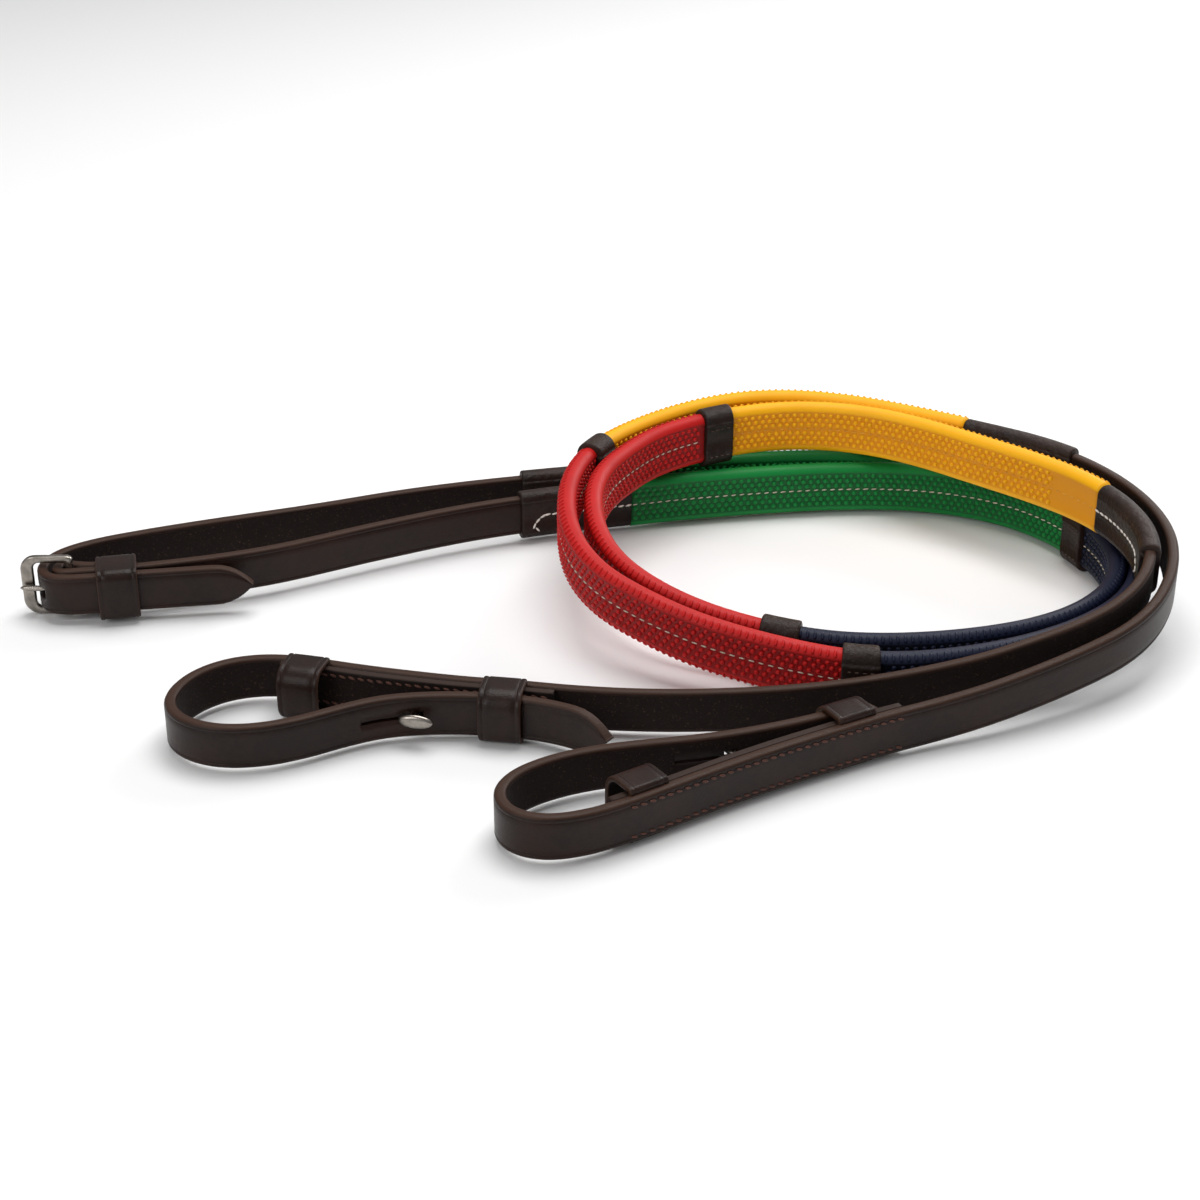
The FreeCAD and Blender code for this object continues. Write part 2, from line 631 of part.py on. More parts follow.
# strap whose point goes through the buckle, with the hole for the tongue
point_strap = strap_piece(pointed_route, 0, grip_start + size("sleeve_length") / 2)
tip_at, tip_heading, tip_side = pointed_route.spot(0)
for cutter in point_cutter((tip_at, tip_heading * -1, tip_side), size("tip_length"),
                           size("strap_width"), size("strap_thick")):
    point_strap = point_strap.cut(cutter)
hole_length = size("tongue_hole_length")
hole_front = size("tongue_hole_front")
tongue_hole = Part.makeBox(hole_length, hole_front + size("tongue_hole_back"), slot_half * 2,
                           BAR_SPOT + Vec(-hole_length - size("tongue_hole_gap"),
                                          -hole_front, -slot_half))
add_shape("pointed_rein_buckle_strap", point_strap.cut(tongue_hole))

# ---------------------------------------------------------------- centre buckle

frame = new_body("buckle_frame")
outline = new_sketch(frame, "frame_outline", "XZ_Plane")
sketch_rectangle(outline, "-dims.frame_reach", "dims.bar_size / 2",
                 "-dims.frame_height / 2", "dims.frame_height / 2")
sketch_rectangle(outline, "dims.frame_tip - dims.frame_reach", "-dims.bar_size / 2",
                 "dims.frame_side - dims.frame_height / 2",
                 "dims.frame_height / 2 - dims.frame_side")
ring = pad(frame, outline, "dims.bar_size")


def upright_corners_at(reach):
    """Chooses the frame's short corner edges that stand at one distance."""
    return lambda edge: (all(abs(v.Point.x - reach) < 0.01 for v in edge.Vertexes)
                         and edge.BoundBox.ZLength < 0.01)


outer_corners = fillet(frame, ring, "dims.frame_round",
                       upright_corners_at(-size("frame_reach")))
inner_corners = fillet(frame, outer_corners, "dims.frame_round - dims.frame_side",
                       upright_corners_at(size("frame_tip") - size("frame_reach")))
softened = fillet(frame, inner_corners, "dims.frame_edge",
                  lambda edge: edge.BoundBox.YLength < 0.01)
frame.Tip = softened
frame.Placement = FreeCAD.Placement(BAR_SPOT, FreeCAD.Rotation())

# tongue: an eye round the bar and an arm that rests on the frame's far side
eye = doc.addObject("Part::Cylinder", "tongue_eye")
eye.setExpression("Height", "dims.tongue_eye_height")
eye.Radius = eye_bore + size("tongue_eye_wall")
eye.Placement.Base = Vec(0, 0, -size("tongue_eye_height") / 2)
arm = doc.addObject("Part::Cylinder", "tongue_arm")
arm.setExpression("Radius", "dims.tongue_size / 2")
arm.setExpression("Height", "dims.frame_reach + 0.2")
arm_rest = -(size("bar_size") + size("tongue_size")) / 2 - size("fit_gap")
arm.Placement = FreeCAD.Placement(Vec(0, arm_rest, 0),
                                  FreeCAD.Rotation(Vec(0, 1, 0), -90))
blank = doc.addObject("Part::Fuse", "tongue_blank")
blank.Base = eye
blank.Tool = arm
bore = doc.addObject("Part::Cylinder", "tongue_bore")
bore.setExpression("Height", "dims.tongue_eye_height * 2")
bore.Radius = eye_bore
bore.Placement.Base = Vec(0, 0, -size("tongue_eye_height"))
tongue = doc.addObject("Part::Cut", "buckle_tongue")
tongue.Label = "buckle_tongue"
tongue.Base = blank
tongue.Tool = bore
tongue.Placement = FreeCAD.Placement(BAR_SPOT, FreeCAD.Rotation())
SUB_PARTS.append(tongue)

# ---------------------------------------------------------------- check and write

doc.recompute()
for item in doc.Objects:
    if "Invalid" in item.State or "Error" in item.State:
        raise RuntimeError("%s did not compute" % item.Label)
os.makedirs("parts", exist_ok=True)
for item in SUB_PARTS:
    shape = item.Shape
    if shape.isNull() or not shape.isValid() or not shape.Solids:
        raise RuntimeError("%s is not a sound solid" % item.Label)
    shape.exportStep(os.path.join("parts", item.Label + ".step"))
print(len(SUB_PARTS), "sub-parts")
for name, route in (("buckle rein", buckle_route), ("pointed rein", pointed_route)):
    print(name, "length", round(route.length, 1))
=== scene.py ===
import json
import math

import bmesh
import bpy
import numpy as np
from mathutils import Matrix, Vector, kdtree


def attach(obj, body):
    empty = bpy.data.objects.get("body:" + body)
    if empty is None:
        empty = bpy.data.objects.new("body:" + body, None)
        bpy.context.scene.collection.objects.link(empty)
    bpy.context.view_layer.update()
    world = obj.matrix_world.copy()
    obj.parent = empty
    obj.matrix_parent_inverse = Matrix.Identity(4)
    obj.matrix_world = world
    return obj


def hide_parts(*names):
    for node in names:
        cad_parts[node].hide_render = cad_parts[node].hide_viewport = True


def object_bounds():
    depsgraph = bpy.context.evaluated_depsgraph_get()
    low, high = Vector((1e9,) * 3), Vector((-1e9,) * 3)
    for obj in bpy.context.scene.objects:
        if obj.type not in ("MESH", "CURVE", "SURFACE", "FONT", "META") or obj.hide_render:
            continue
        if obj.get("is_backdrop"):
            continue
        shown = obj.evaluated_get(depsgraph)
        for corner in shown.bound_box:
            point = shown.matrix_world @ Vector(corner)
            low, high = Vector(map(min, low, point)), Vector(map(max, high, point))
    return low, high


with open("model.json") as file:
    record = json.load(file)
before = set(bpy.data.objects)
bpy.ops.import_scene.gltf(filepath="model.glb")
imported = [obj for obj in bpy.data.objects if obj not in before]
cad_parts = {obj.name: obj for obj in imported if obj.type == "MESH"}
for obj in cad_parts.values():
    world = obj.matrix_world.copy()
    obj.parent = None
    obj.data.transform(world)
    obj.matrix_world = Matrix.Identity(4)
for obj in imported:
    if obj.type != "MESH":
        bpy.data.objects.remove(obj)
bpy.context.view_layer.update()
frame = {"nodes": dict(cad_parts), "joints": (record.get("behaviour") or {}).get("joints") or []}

MM = 0.001
UP = np.array((0.0, 0.0, 1.0))
REINS = ("buckle_rein", "pointed_rein")
COLOURS = ("green", "navy", "red", "yellow")

# ---------------------------------------------------------------- sizes, in mm

STRAP_THICK = 4.2
STRAP_WIDE = 16.0
LINING_THICK = 3.0
GRIP_THICK = 7.0
GRIP_TALL = 21.0
GRIP_FACE = 3.1
SLEEVE_THICK = 7.8
SLEEVE_TALL = 20.2
SLEEVE_LONG = 47.0
GRIP_LONG = 200.0
LAST_GRIP_LONG = 176.0
STOP_LONG = 12.5
STOP_WALL = 1.8
KEEPER_LONG = 15.0
KEEPER_WALL = 2.0
KEEPER_BASE = 1.3
KEEPER_OPENING = 11.5
PIP_PITCH = 3.1
PIP_ROWS = (-6.1, -3.95, -1.8, 1.8, 3.95, 6.1)
GRIP_LEVEL = 12.3
BIT = -2.0
POINT_LONG = 15.0
# small forms as length, width and height, and how far apart they stand
PIP_SIZE = (2.05, 2.05, 1.7)
RIB_SIZE = (3.5, 1.35, 1.05)
RIB_PITCH = 2.6
GRIP_STITCH = (2.4, 0.6, 0.5)
GRIP_STITCH_PITCH = 3.5
STOP_STITCH = (1.7, 0.5, 0.45)
SLEEVE_STITCH = (2.9, 0.95, 0.8)
LINING_STITCH = (2.9, 1.1, 0.9)
# boxes cut out of the leather, as their low and high corners: in a billet, about its
# hole and along the strap; at the buckle, about its bar
BILLET_SLIT = ((-19.0, -8.0, -0.6), (0.0, 8.0, 0.6))
BILLET_HOLE = ((-2.2, -8.0, -1.9), (2.2, 8.0, 1.9))
CHAPE_SLOT = ((-8.2, -9.9, -2.0), (4.6, 9.3, 2.0))
TONGUE_HOLE = ((-22.4, -9.6, -2.0), (-8.0, 2.4, 2.0))
TONGUE_GROOVE = ((-8.2, -7.0, -2.0), (-3.4, 2.4, 2.0))
# the buckle frame's outside and opening about its bar: low and high of x and z, then
# the radius of each corner
FRAME_OUTSIDE = (-18.6, 1.6, -12.2, 12.2, (6.0, 2.2, 2.2, 6.0))
FRAME_OPENING = (-13.7, -1.6, -9.3, 9.3, (2.6, 0.6, 0.6, 2.6))
TONGUE_REACH = 17.4

# ---------------------------------------------------------------- the two routes

# Middle lines from the centre buckle to the tip of the billet: x, y and the lift
# above the level of the first turn, in mm.
BUCKLE_REIN_ROUTE = [
    (-175.1, 34.2, 0), (-184.5, 32.05, 0), (-193.5, 31.3, 0), (-202.4, 33.2, 0),
    (-202.4, 25, 0), (-193.5, 26.4, 0), (-184.5, 27.6, 0), (-171.5, 30.5, 0),
    (-155.5, 34.5, 0), (-137.5, 40.1, 0), (-121.5, 46.6, 0), (-106.5, 54.7, 0),
    (-91, 63.5, 0), (-76.5, 71.1, 0), (-61.5, 78.7, 0), (-46.5, 85.3, 0),
    (-30.5, 91.1, 0), (-10.5, 97.3, 0), (11, 102.7, 0), (32.5, 108.5, 0),
    (55, 113.1, 0), (77.5, 116.7, 0), (99.5, 119.3, 0), (122.5, 119.7, 0),
    (143.5, 116.1, 0), (160.5, 109.1, 0), (173.5, 99.7, 0), (184, 87.9, 0),
    (191.8, 74.1, 0), (197.1, 59.1, 0), (199.5, 44.1, 0), (198.3, 29.1, 0),
    (193.5, 15.1, 0), (185.1, 2.1, 0), (172.9, -9.9, 0), (158, -18.9, 0),
    (141.5, -24.9, 0), (123.5, -28.9, 0), (104.5, -30.6, 0), (86, -29.7, 0.2),
    (67.5, -25.3, 1), (50, -19.7, 3), (33.5, -12.5, 6), (19, -2.5, 9.6),
    (8.7, 9.7, 12.6), (2.5, 24.1, 15.6), (-0.1, 40.1, 18.2), (0.5, 57.1, 20.2),
    (4.9, 72.7, 21.4), (13.5, 87.3, 22.2), (24.1, 101.5, 22.9), (39, 112.7, 23.4),
    (56.5, 120.9, 24), (76.5, 126.5, 24.2), (97.5, 125.9, 24.3), (117.5, 119.1, 24.3),
    (135.5, 107.1, 24.2), (152.5, 92.3, 24), (169, 78.5, 23.7), (183.5, 65.1, 23.2),
    (193.9, 51.5, 22.6), (200.7, 35.5, 22.2), (203.9, 18.5, 21.4), (202.7, 1.7, 19.8),
    (196.9, -12.5, 16.8), (186.5, -24.3, 13.2), (172.1, -33.1, 9.8),
    (155.5, -39.7, 6.6), (137.5, -45.9, 3.4), (118, -51.1, 1.2), (97.5, -55.3, -0.6),
    (76.5, -58.9, -1.6), (55.5, -61.3, BIT), (34, -62.7, BIT), (13.5, -62.3, BIT),
    (-6.5, -60.1, BIT), (-25, -56.5, BIT), (-43.5, -53.9, BIT), (-62.5, -49.9, BIT),
    (-80.5, -45.5, BIT), (-97.5, -40.3, BIT), (-112.5, -37.3, BIT),
    (-126.5, -39.9, BIT), (-137.1, -47.9, BIT), (-143.1, -59.3, BIT),
    (-143.5, -71.3, BIT), (-136.9, -80.9, BIT), (-125.1, -86.3, BIT),
    (-111.1, -85.7, BIT), (-97.5, -80.5, BIT), (-84.9, -72.9, BIT), (-72.5, -66.9, BIT),
    (-59.1, -64.5, BIT), (-44.5, -64.1, BIT), (-29, -65.7, BIT), (-15.5, -69.3, BIT),
    (-3.5, -75.1, BIT), (5.9, -82.3, BIT),
]
POINTED_REIN_ROUTE = [
    (-129, 30.3, 0), (-142.5, 28.9, 0), (-157.5, 26.5, 0), (-173.5, 24, 0),
    (-188.1, 21.4, 0), (-199.9, 20.1, 0), (-206.4, 23, 0), (-208.8, 31.5, 0),
    (-204.7, 42.3, 0), (-193.9, 51.3, 0), (-177.5, 59, 0), (-159.5, 66.3, 0),
    (-140.5, 73.3, 0), (-120.5, 80.3, 0), (-100.5, 88.1, 0), (-81.5, 96.1, 0),
    (-61.5, 102.9, 0), (-40.5, 108.9, 0), (-19.5, 113.9, 0), (2.5, 118.7, 0),
    (24.5, 123.4, 0), (46.5, 127.1, 0), (68.5, 130.5, 0), (90.5, 132.3, 0),
    (112.5, 131.5, 0), (134, 127.5, 0), (154.5, 120.1, 0), (172.9, 110.1, 0),
    (189.1, 98.5, 0), (200.5, 83.7, 0), (207.1, 66.3, 0), (208.5, 47.7, 0),
    (206.3, 29.9, 0), (200.9, 13.1, 0), (192.1, -1.5, 0), (179.5, -14.5, 0),
    (164.5, -25.5, 0), (147.5, -34.3, 0), (129, -40.7, 0), (109.5, -44.3, 0),
    (90, -44.1, 0.6), (71, -40.1, 2.4), (52.5, -34.7, 4.8), (34.5, -27.7, 7.8),
    (18.1, -17.7, 11.2), (4.1, -6.1, 14.4), (-4.9, 8.7, 17.4), (-9.3, 25.5, 20),
    (-10.3, 43.1, 21.4), (-8.7, 61.1, 22), (-3.9, 80.1, 22.4), (6.3, 98.1, 22.8),
    (21.5, 114.3, 23.2), (40.1, 128.7, 23.6), (61.5, 138.5, 23.9), (83.5, 139.9, 24),
    (104.5, 134.7, 24.1), (124.5, 125.1, 24.1), (143.5, 113.9, 24.1),
    (160.9, 102.9, 24.1), (176.9, 92.1, 24), (190.9, 80.7, 23), (201.7, 67.9, 21.4),
    (209.1, 53.7, 20), (213.5, 38.7, 18.6), (214.9, 23.1, 17), (212.7, 7.7, 15),
    (207.9, -6.5, 12.8), (199.5, -21.5, 10.2), (187.3, -34.1, 7.6), (171.1, -44.3, 5),
    (153.5, -53.9, 2.6), (135, -62.7, 0.2), (116, -70.1, -1.6), (97.5, -78.1, BIT),
    (80, -87.9, BIT), (63, -97.5, BIT), (45.5, -108.3, BIT), (29, -119.3, BIT),
    (13.5, -129.9, BIT), (-1.1, -138.3, BIT), (-14.9, -141.5, BIT),
    (-25.9, -136.9, BIT), (-30.1, -126.3, BIT), (-25.7, -115.1, BIT),
    (-14.9, -106.3, BIT), (-0.9, -100.1, BIT), (14.5, -96.5, BIT), (30.5, -93.7, BIT),
    (46.5, -89.9, BIT), (61.5, -84.7, BIT), (75.5, -78.9, BIT), (88.5, -72.3, BIT),
    (100.1, -65.5, BIT),
]


class Line:
    """A rein's middle line, with places on it counted in metres from the buckle."""

    def __init__(self, corners):
        corners = np.array([(x, y, GRIP_LEVEL + lift) for x, y, lift in corners]) * MM
        joints = (corners[1:] + corners[:-1]) / 2
        joints[0] = corners[0]
        joints[-1] = corners[-1]
        t = np.linspace(0, 1, 13)[:-1, None]
        bends = [(1 - t) ** 2 * a + 2 * t * (1 - t) * corner + t**2 * b
                 for a, corner, b in zip(joints, corners[1:-1], joints[1:])]
        self.points = np.vstack(bends + [corners[-1:]])
        steps = np.linalg.norm(np.diff(self.points, axis=0), axis=1)
        self.along = np.concatenate(([0.0], np.cumsum(steps)))
        self.length = self.along[-1]
        self.tree = kdtree.KDTree(len(self.points))
        for index, point in enumerate(self.points):
            self.tree.insert(point, index)
        self.tree.balance()

    def at(self, places):
        """Positions at places along the line."""
        places = np.asarray(places, float)
        return np.stack([np.interp(places, self.along, self.points[:, axis])
                         for axis in range(3)], axis=-1)

    def spot(self, places):
        """Positions, level headings and level directions to the left at places."""
        places = np.asarray(places, float)
        reach = 0.8 * MM
        before = np.maximum(places - reach, 0.0)
        after = np.minimum(places + reach, self.length)
        heading = self.at(after) - self.at(before)
        heading[..., 2] = 0.0
        heading = heading / np.linalg.norm(heading, axis=-1, keepdims=True)
        return self.at(places), heading, np.cross(UP, heading)

    def nearest(self, point):
        """Place along the line that is nearest to a point."""
        return self.along[self.tree.find(point)[1]]

    def span(self, node, start, end):
        """First and last place that a CAD node covers, looked for near start to end."""
        slack = 12 * MM
        near = (self.along > start - slack) & (self.along < end + slack)
        points, along = self.points[near], self.along[near]
        corners = np.array([v.co for v in frame["nodes"][node].data.vertices])
        places = [along[np.argmin(((points - corner) ** 2).sum(axis=1))]
                  for corner in corners[:: max(1, len(corners) // 900)]]
        return min(places), max(places)


LINES = {"buckle_rein": Line(BUCKLE_REIN_ROUTE), "pointed_rein": Line(POINTED_REIN_ROUTE)}
# side of each strap that is its flesh side: +1 is left of its heading
FLESH = {"buckle_rein": 1, "pointed_rein": -1}
# where things sit on each rein, as x and y in mm
SPOTS = {
    "buckle_rein": {
        "grips": (-30.5, 91.1),
        "first_keeper": (-98.5, -40.1),
        "second_keeper": (-29.0, -55.9),
        "lining": ((-12.5, -59.3), (-108.5, -37.9)),
        "stud": (-56.5, -51.3),
    },
    "pointed_rein": {
        "grips": (-29.5, 111.5),
        "first_keeper": (18.5, -126.5),
        "second_keeper": (88.0, -83.3),
        "lining": ((105.5, -74.7), (7.5, -132.9)),
        "stud": (54.5, -102.9),
    },
}


def place_of(rein, spot):
    """Place along a rein's line that is nearest to a spot on the floor plan."""
    level = GRIP_LEVEL if spot[1] > 0 else GRIP_LEVEL + BIT
    return LINES[rein].nearest((spot[0] * MM, spot[1] * MM, level * MM))


def laid_out(rein):
    """Start and end of each cover and grip along a rein, as the maker measures them."""
    lengths = {"inner_sleeve": SLEEVE_LONG}
    for colour in COLOURS:
        lengths[colour + "_grip"] = LAST_GRIP_LONG if colour == COLOURS[-1] else GRIP_LONG
    lengths["outer_sleeve"] = SLEEVE_LONG
    places = {}
    at = place_of(rein, SPOTS[rein]["grips"])
    for name, length in lengths.items():
        places[name] = (at, at + length * MM)
        at += length * MM
    for name, colour in zip(("first", "second", "third"), COLOURS):
        middle = places[colour + "_grip"][1]
        half = STOP_LONG / 2 * MM
        places[name + "_stop"] = (middle - half, middle + half)
    return {name: LINES[rein].span("%s_%s" % (rein, name), *ends)
            for name, ends in places.items()}

# ---------------------------------------------------------------- meshes


def new_piece(name, points, faces, finish, values=None):
    """A smooth closed mesh with its own point values for the finish to read."""
    mesh = bpy.data.meshes.new(name)
    mesh.from_pydata([tuple(p) for p in points], [], faces)
    for key, numbers in (values or {}).items():
        layer = mesh.attributes.new(key, "FLOAT", "POINT")
        layer.data.foreach_set("value", np.asarray(numbers, np.float32))
    shell = bmesh.new()
    shell.from_mesh(mesh)
    bmesh.ops.recalc_face_normals(shell, faces=shell.faces)
    shell.to_mesh(mesh)
    shell.free()
    mesh.polygons.foreach_set("use_smooth", [True] * len(mesh.polygons))
    mesh.materials.append(finish)
    piece = bpy.data.objects.new(name, mesh)
    bpy.context.scene.collection.objects.link(piece)
    return piece


def tube_faces(rings, around, ends):
    """Quads between rings of points, with a cap at each end or joined end to end."""
    faces = []
    last = rings if ends == "joined" else rings - 1
    for ring in range(last):
        here = ring * around
        there = (ring + 1) % rings * around
        for k in range(around):
            nxt = (k + 1) % around
            faces.append((here + k, here + nxt, there + nxt, there + k))
    if ends == "capped":
        faces.append(tuple(range(around)))
        faces.append(tuple((rings - 1) * around + k for k in range(around)))
    return faces


def sweep(name, line, places, outlines, finish):
    """Carries an upright outline along a line. An outline is rows of: distance to
    the left, height, how near an edge it is, and 1 on the flesh side."""
    outlines = np.asarray(outlines, float)
    if outlines.ndim == 2:
        outlines = np.repeat(outlines[None], len(places), axis=0)
    position, _, left = line.spot(places)
    points = (position[:, None] + left[:, None] * outlines[..., 0:1] * MM
              + UP * outlines[..., 1:2] * MM)
    around = outlines.shape[1]
    values = {"edge": outlines[..., 2].ravel(), "flesh": outlines[..., 3].ravel()}
    return new_piece(name, points.reshape(-1, 3),
                     tube_faces(len(places), around, "capped"), finish, values)


def band(name, origin, axes, path, section, finish):
    """Carries a section round a closed path that lies in one plane. The path is rows
    of (a, b, outward a, outward b) and a section is rows of (outward, c, edge, flesh);
    a section for each path point may be given."""
    path = np.asarray(path, float)
    section = np.asarray(section, float)
    if section.ndim == 2:
        section = np.repeat(section[None], len(path), axis=0)
    a, b, c = (np.asarray(axis, float) for axis in axes)
    middle = np.asarray(origin) + (path[:, 0:1] * a + path[:, 1:2] * b) * MM
    outward = path[:, 2:3] * a + path[:, 3:4] * b
    points = (middle[:, None] + outward[:, None] * section[..., 0:1] * MM
              + c * section[..., 1:2] * MM)
    values = {"edge": section[..., 2].ravel(), "flesh": section[..., 3].ravel()}
    return new_piece(name, points.reshape(-1, 3),
                     tube_faces(len(path), section.shape[1], "joined"), finish, values)


def turned(name, origin, out, run, profile, stretch, finish):
    """A turned form round the out direction; stretch widens it along run."""
    out = np.asarray(out, float)
    run = np.asarray(run, float)
    across = np.cross(out, run)
    turns = np.linspace(0, 2 * math.pi, 41)[:-1]
    points = [np.asarray(origin) + (out * height + (run * math.cos(t) * stretch
                                                    + across * math.sin(t)) * radius) * MM
              for radius, height in profile for t in turns]
    return new_piece(name, points, tube_faces(len(profile), len(turns), "capped"), finish)


def rod(name, points, radii, finish):
    """A round rod through points, given in metres, with a radius in mm at each."""
    points = np.asarray(points, float)
    heading = np.gradient(points, axis=0)
    heading /= np.linalg.norm(heading, axis=1, keepdims=True)
    side = np.cross(heading, UP)
    side /= np.linalg.norm(side, axis=1, keepdims=True)
    over = np.cross(side, heading)
    turns = np.linspace(0, 2 * math.pi, 25)[:-1]
    rings = [p + (s * math.cos(t) + o * math.sin(t)) * r * MM
             for p, s, o, r in zip(points, side, over, radii) for t in turns]
    return new_piece(name, rings, tube_faces(len(points), len(turns), "capped"), finish)


def cut_out(piece, low, high, turn=0.0, middle=(0, 0, 0)):
    """Cuts a box out of a piece; low and high are in mm about middle, in metres."""
    tool = bmesh.new()
    bmesh.ops.create_cube(tool, size=1.0)
    low, high = np.array(low), np.array(high)
    for v in tool.verts:
        x, y, z = (low + (np.array(v.co) + 0.5) * (high - low)) * MM
        v.co = Vector((x * math.cos(turn) - y * math.sin(turn),
                       x * math.sin(turn) + y * math.cos(turn), z)) + Vector(middle)
    mesh = bpy.data.meshes.new("cutter")
    tool.to_mesh(mesh)
    tool.free()
    cutter = bpy.data.objects.new("cutter", mesh)
    bpy.context.scene.collection.objects.link(cutter)
    hole = piece.modifiers.new("hole", "BOOLEAN")
    hole.operation = "DIFFERENCE"
    hole.solver = "EXACT"
    hole.object = cutter
    apply_modifiers(piece)
    bpy.data.objects.remove(cutter)


def apply_modifiers(piece):
    """Puts what the modifiers make into the piece's own mesh."""
    evaluated = piece.evaluated_get(bpy.context.evaluated_depsgraph_get())
    made = bpy.data.meshes.new_from_object(evaluated)
    piece.modifiers.clear()
    piece.data = made


# ---------------------------------------------------------------- outlines


def arc(cx, cy, radius, start, end, steps):
    """Points on an arc, in degrees."""
    return [(cx + radius * math.cos(math.radians(t)), cy + radius * math.sin(math.radians(t)))
            for t in np.linspace(start, end, steps)]


def strip(low, high, wide, corner, creased=(), flesh=0, crease_in=2.0):
    """Section of a flat strip from low to high across and wide upright. creased names
    the sides, +1 or -1, that have a pressed line near each edge."""
    half = wide / 2
    corner = min(corner, (high - low) / 2 - 0.02)

    def face(side):
        at = high if side > 0 else low
        heights = [-half + corner + 0.05, 0.0, half - corner - 0.05]
        heights += [-half * 0.45, half * 0.45]
        rows = {u: at for u in heights}
        line_at = half - crease_in
        if side in creased:
            for u, depth in ((line_at - 0.5, 0.0), (line_at - 0.2, 0.16), (line_at, 0.24),
                             (line_at + 0.2, 0.16), (line_at + 0.5, 0.0)):
                rows[u] = at - side * depth
                rows[-u] = at - side * depth
        rows = sorted(rows.items(), reverse=side < 0)
        return [(l, u, 0.0, float(side == flesh)) for u, l in rows]

    def end(top):
        start, sides = 0, (high - corner, low + corner)
        cy = half - corner
        if not top:
            start, sides, cy = 180, sides[::-1], -cy
        rows = arc(sides[0], cy, corner, start, start + 90, 6)
        rows += arc(sides[1], cy, corner, start + 90, start + 180, 6)
        return [(l, u, max(0.0, min(1.0, (abs(u) - abs(cy)) / corner * 1.2)), 0.0)
                for l, u in rows]

    return np.array(face(1) + end(True) + face(-1) + end(False))


def rubber_section(thick, tall):
    """Flat faces between two rounded ridges."""
    radius = thick / 2
    ridge = tall / 2 - radius
    right = [(GRIP_FACE, u) for u in (-ridge + 0.7, -3.0, 0.0, 3.0, ridge - 0.7)]
    top = arc(0, ridge, radius, 0, 180, 15)
    left = [(-l, -u) for l, u in right]
    bottom = arc(0, -ridge, radius, 180, 360, 15)
    rows = right + top + left + bottom
    # edge is 0 on the flat faces and rises over the ridges; the rubber finish paints shade where
    # it is low
    return np.array([(l, u, max(0.0, (abs(u) - ridge) / radius), 0.0) for l, u in rows])


def cover_section(thick, tall, corner, inset=0.0, lap=0.0):
    """Section of a leather cover round the rubber; lap is a raised overlap."""
    half, high = thick / 2 - inset, tall / 2 - inset
    corner = max(corner - inset, 0.3)
    seam = high - corner - 1.2
    inner = [(half, u) for u in (-high + corner, 0.0, seam - 0.25)]
    inner += [(half + lap, u) for u in (seam + 0.05, high - corner)]
    top = arc(half - corner, high - corner, corner, 0, 90, 9)
    top += arc(-half + corner, high - corner, corner, 90, 180, 9)
    top[0:9] = [(l + lap * math.cos(math.radians(k * 11.25)), u)
                for k, (l, u) in enumerate(top[0:9])]
    outer = [(-half, u) for u in (high - corner, seam, 0.0, -high + corner)]
    bottom = arc(-half + corner, -high + corner, corner, 180, 270, 9)
    bottom += arc(half - corner, -high + corner, corner, 270, 360, 9)
    # the lap is turned to the right of the heading, which faces the coil's middle
    rows = [(-l, u) for l, u in inner + top + outer + bottom]
    return np.array([(l, u, max(0.0, min(1.0, (abs(u) - high + corner) / corner)) * 0.6, 0.0)
                     for l, u in rows])


def rounded_path(low_a, high_a, low_b, high_b, radii, steps=9):
    """A rectangle with its own radius at each corner, from the low a, low b corner
    anticlockwise, as rows of position and outward direction."""
    corners = [(low_a, low_b, 1, 1, 180), (high_a, low_b, -1, 1, 270),
               (high_a, high_b, -1, -1, 0), (low_a, high_b, 1, -1, 90)]
    rows = []
    for (a, b, sa, sb, start), radius in zip(corners, radii):
        ca, cb = a + sa * radius, b + sb * radius
        for t in np.linspace(start, start + 90, steps):
            ua, ub = math.cos(math.radians(t)), math.sin(math.radians(t))
            rows.append((ca + radius * ua, cb + radius * ub, ua, ub))
    return np.array(rows)


# ---------------------------------------------------------------- finishes


class Value:
    """A shader socket; arithmetic on it adds Math nodes."""

    def __init__(self, finish, socket):
        self.finish = finish
        self.socket = socket

    def math(self, operation, first, second=0.5):
        return self.finish.node("ShaderNodeMath", {"operation": operation},
                                {0: first, 1: second})

    def __add__(self, other):
        return self.math("ADD", self, other)

    __radd__ = __add__

    def __sub__(self, other):
        return self.math("SUBTRACT", self, other)

    def __rsub__(self, other):
        return self.math("SUBTRACT", other, self)

    def __mul__(self, other):
        return self.math("MULTIPLY", self, other)

    __rmul__ = __mul__


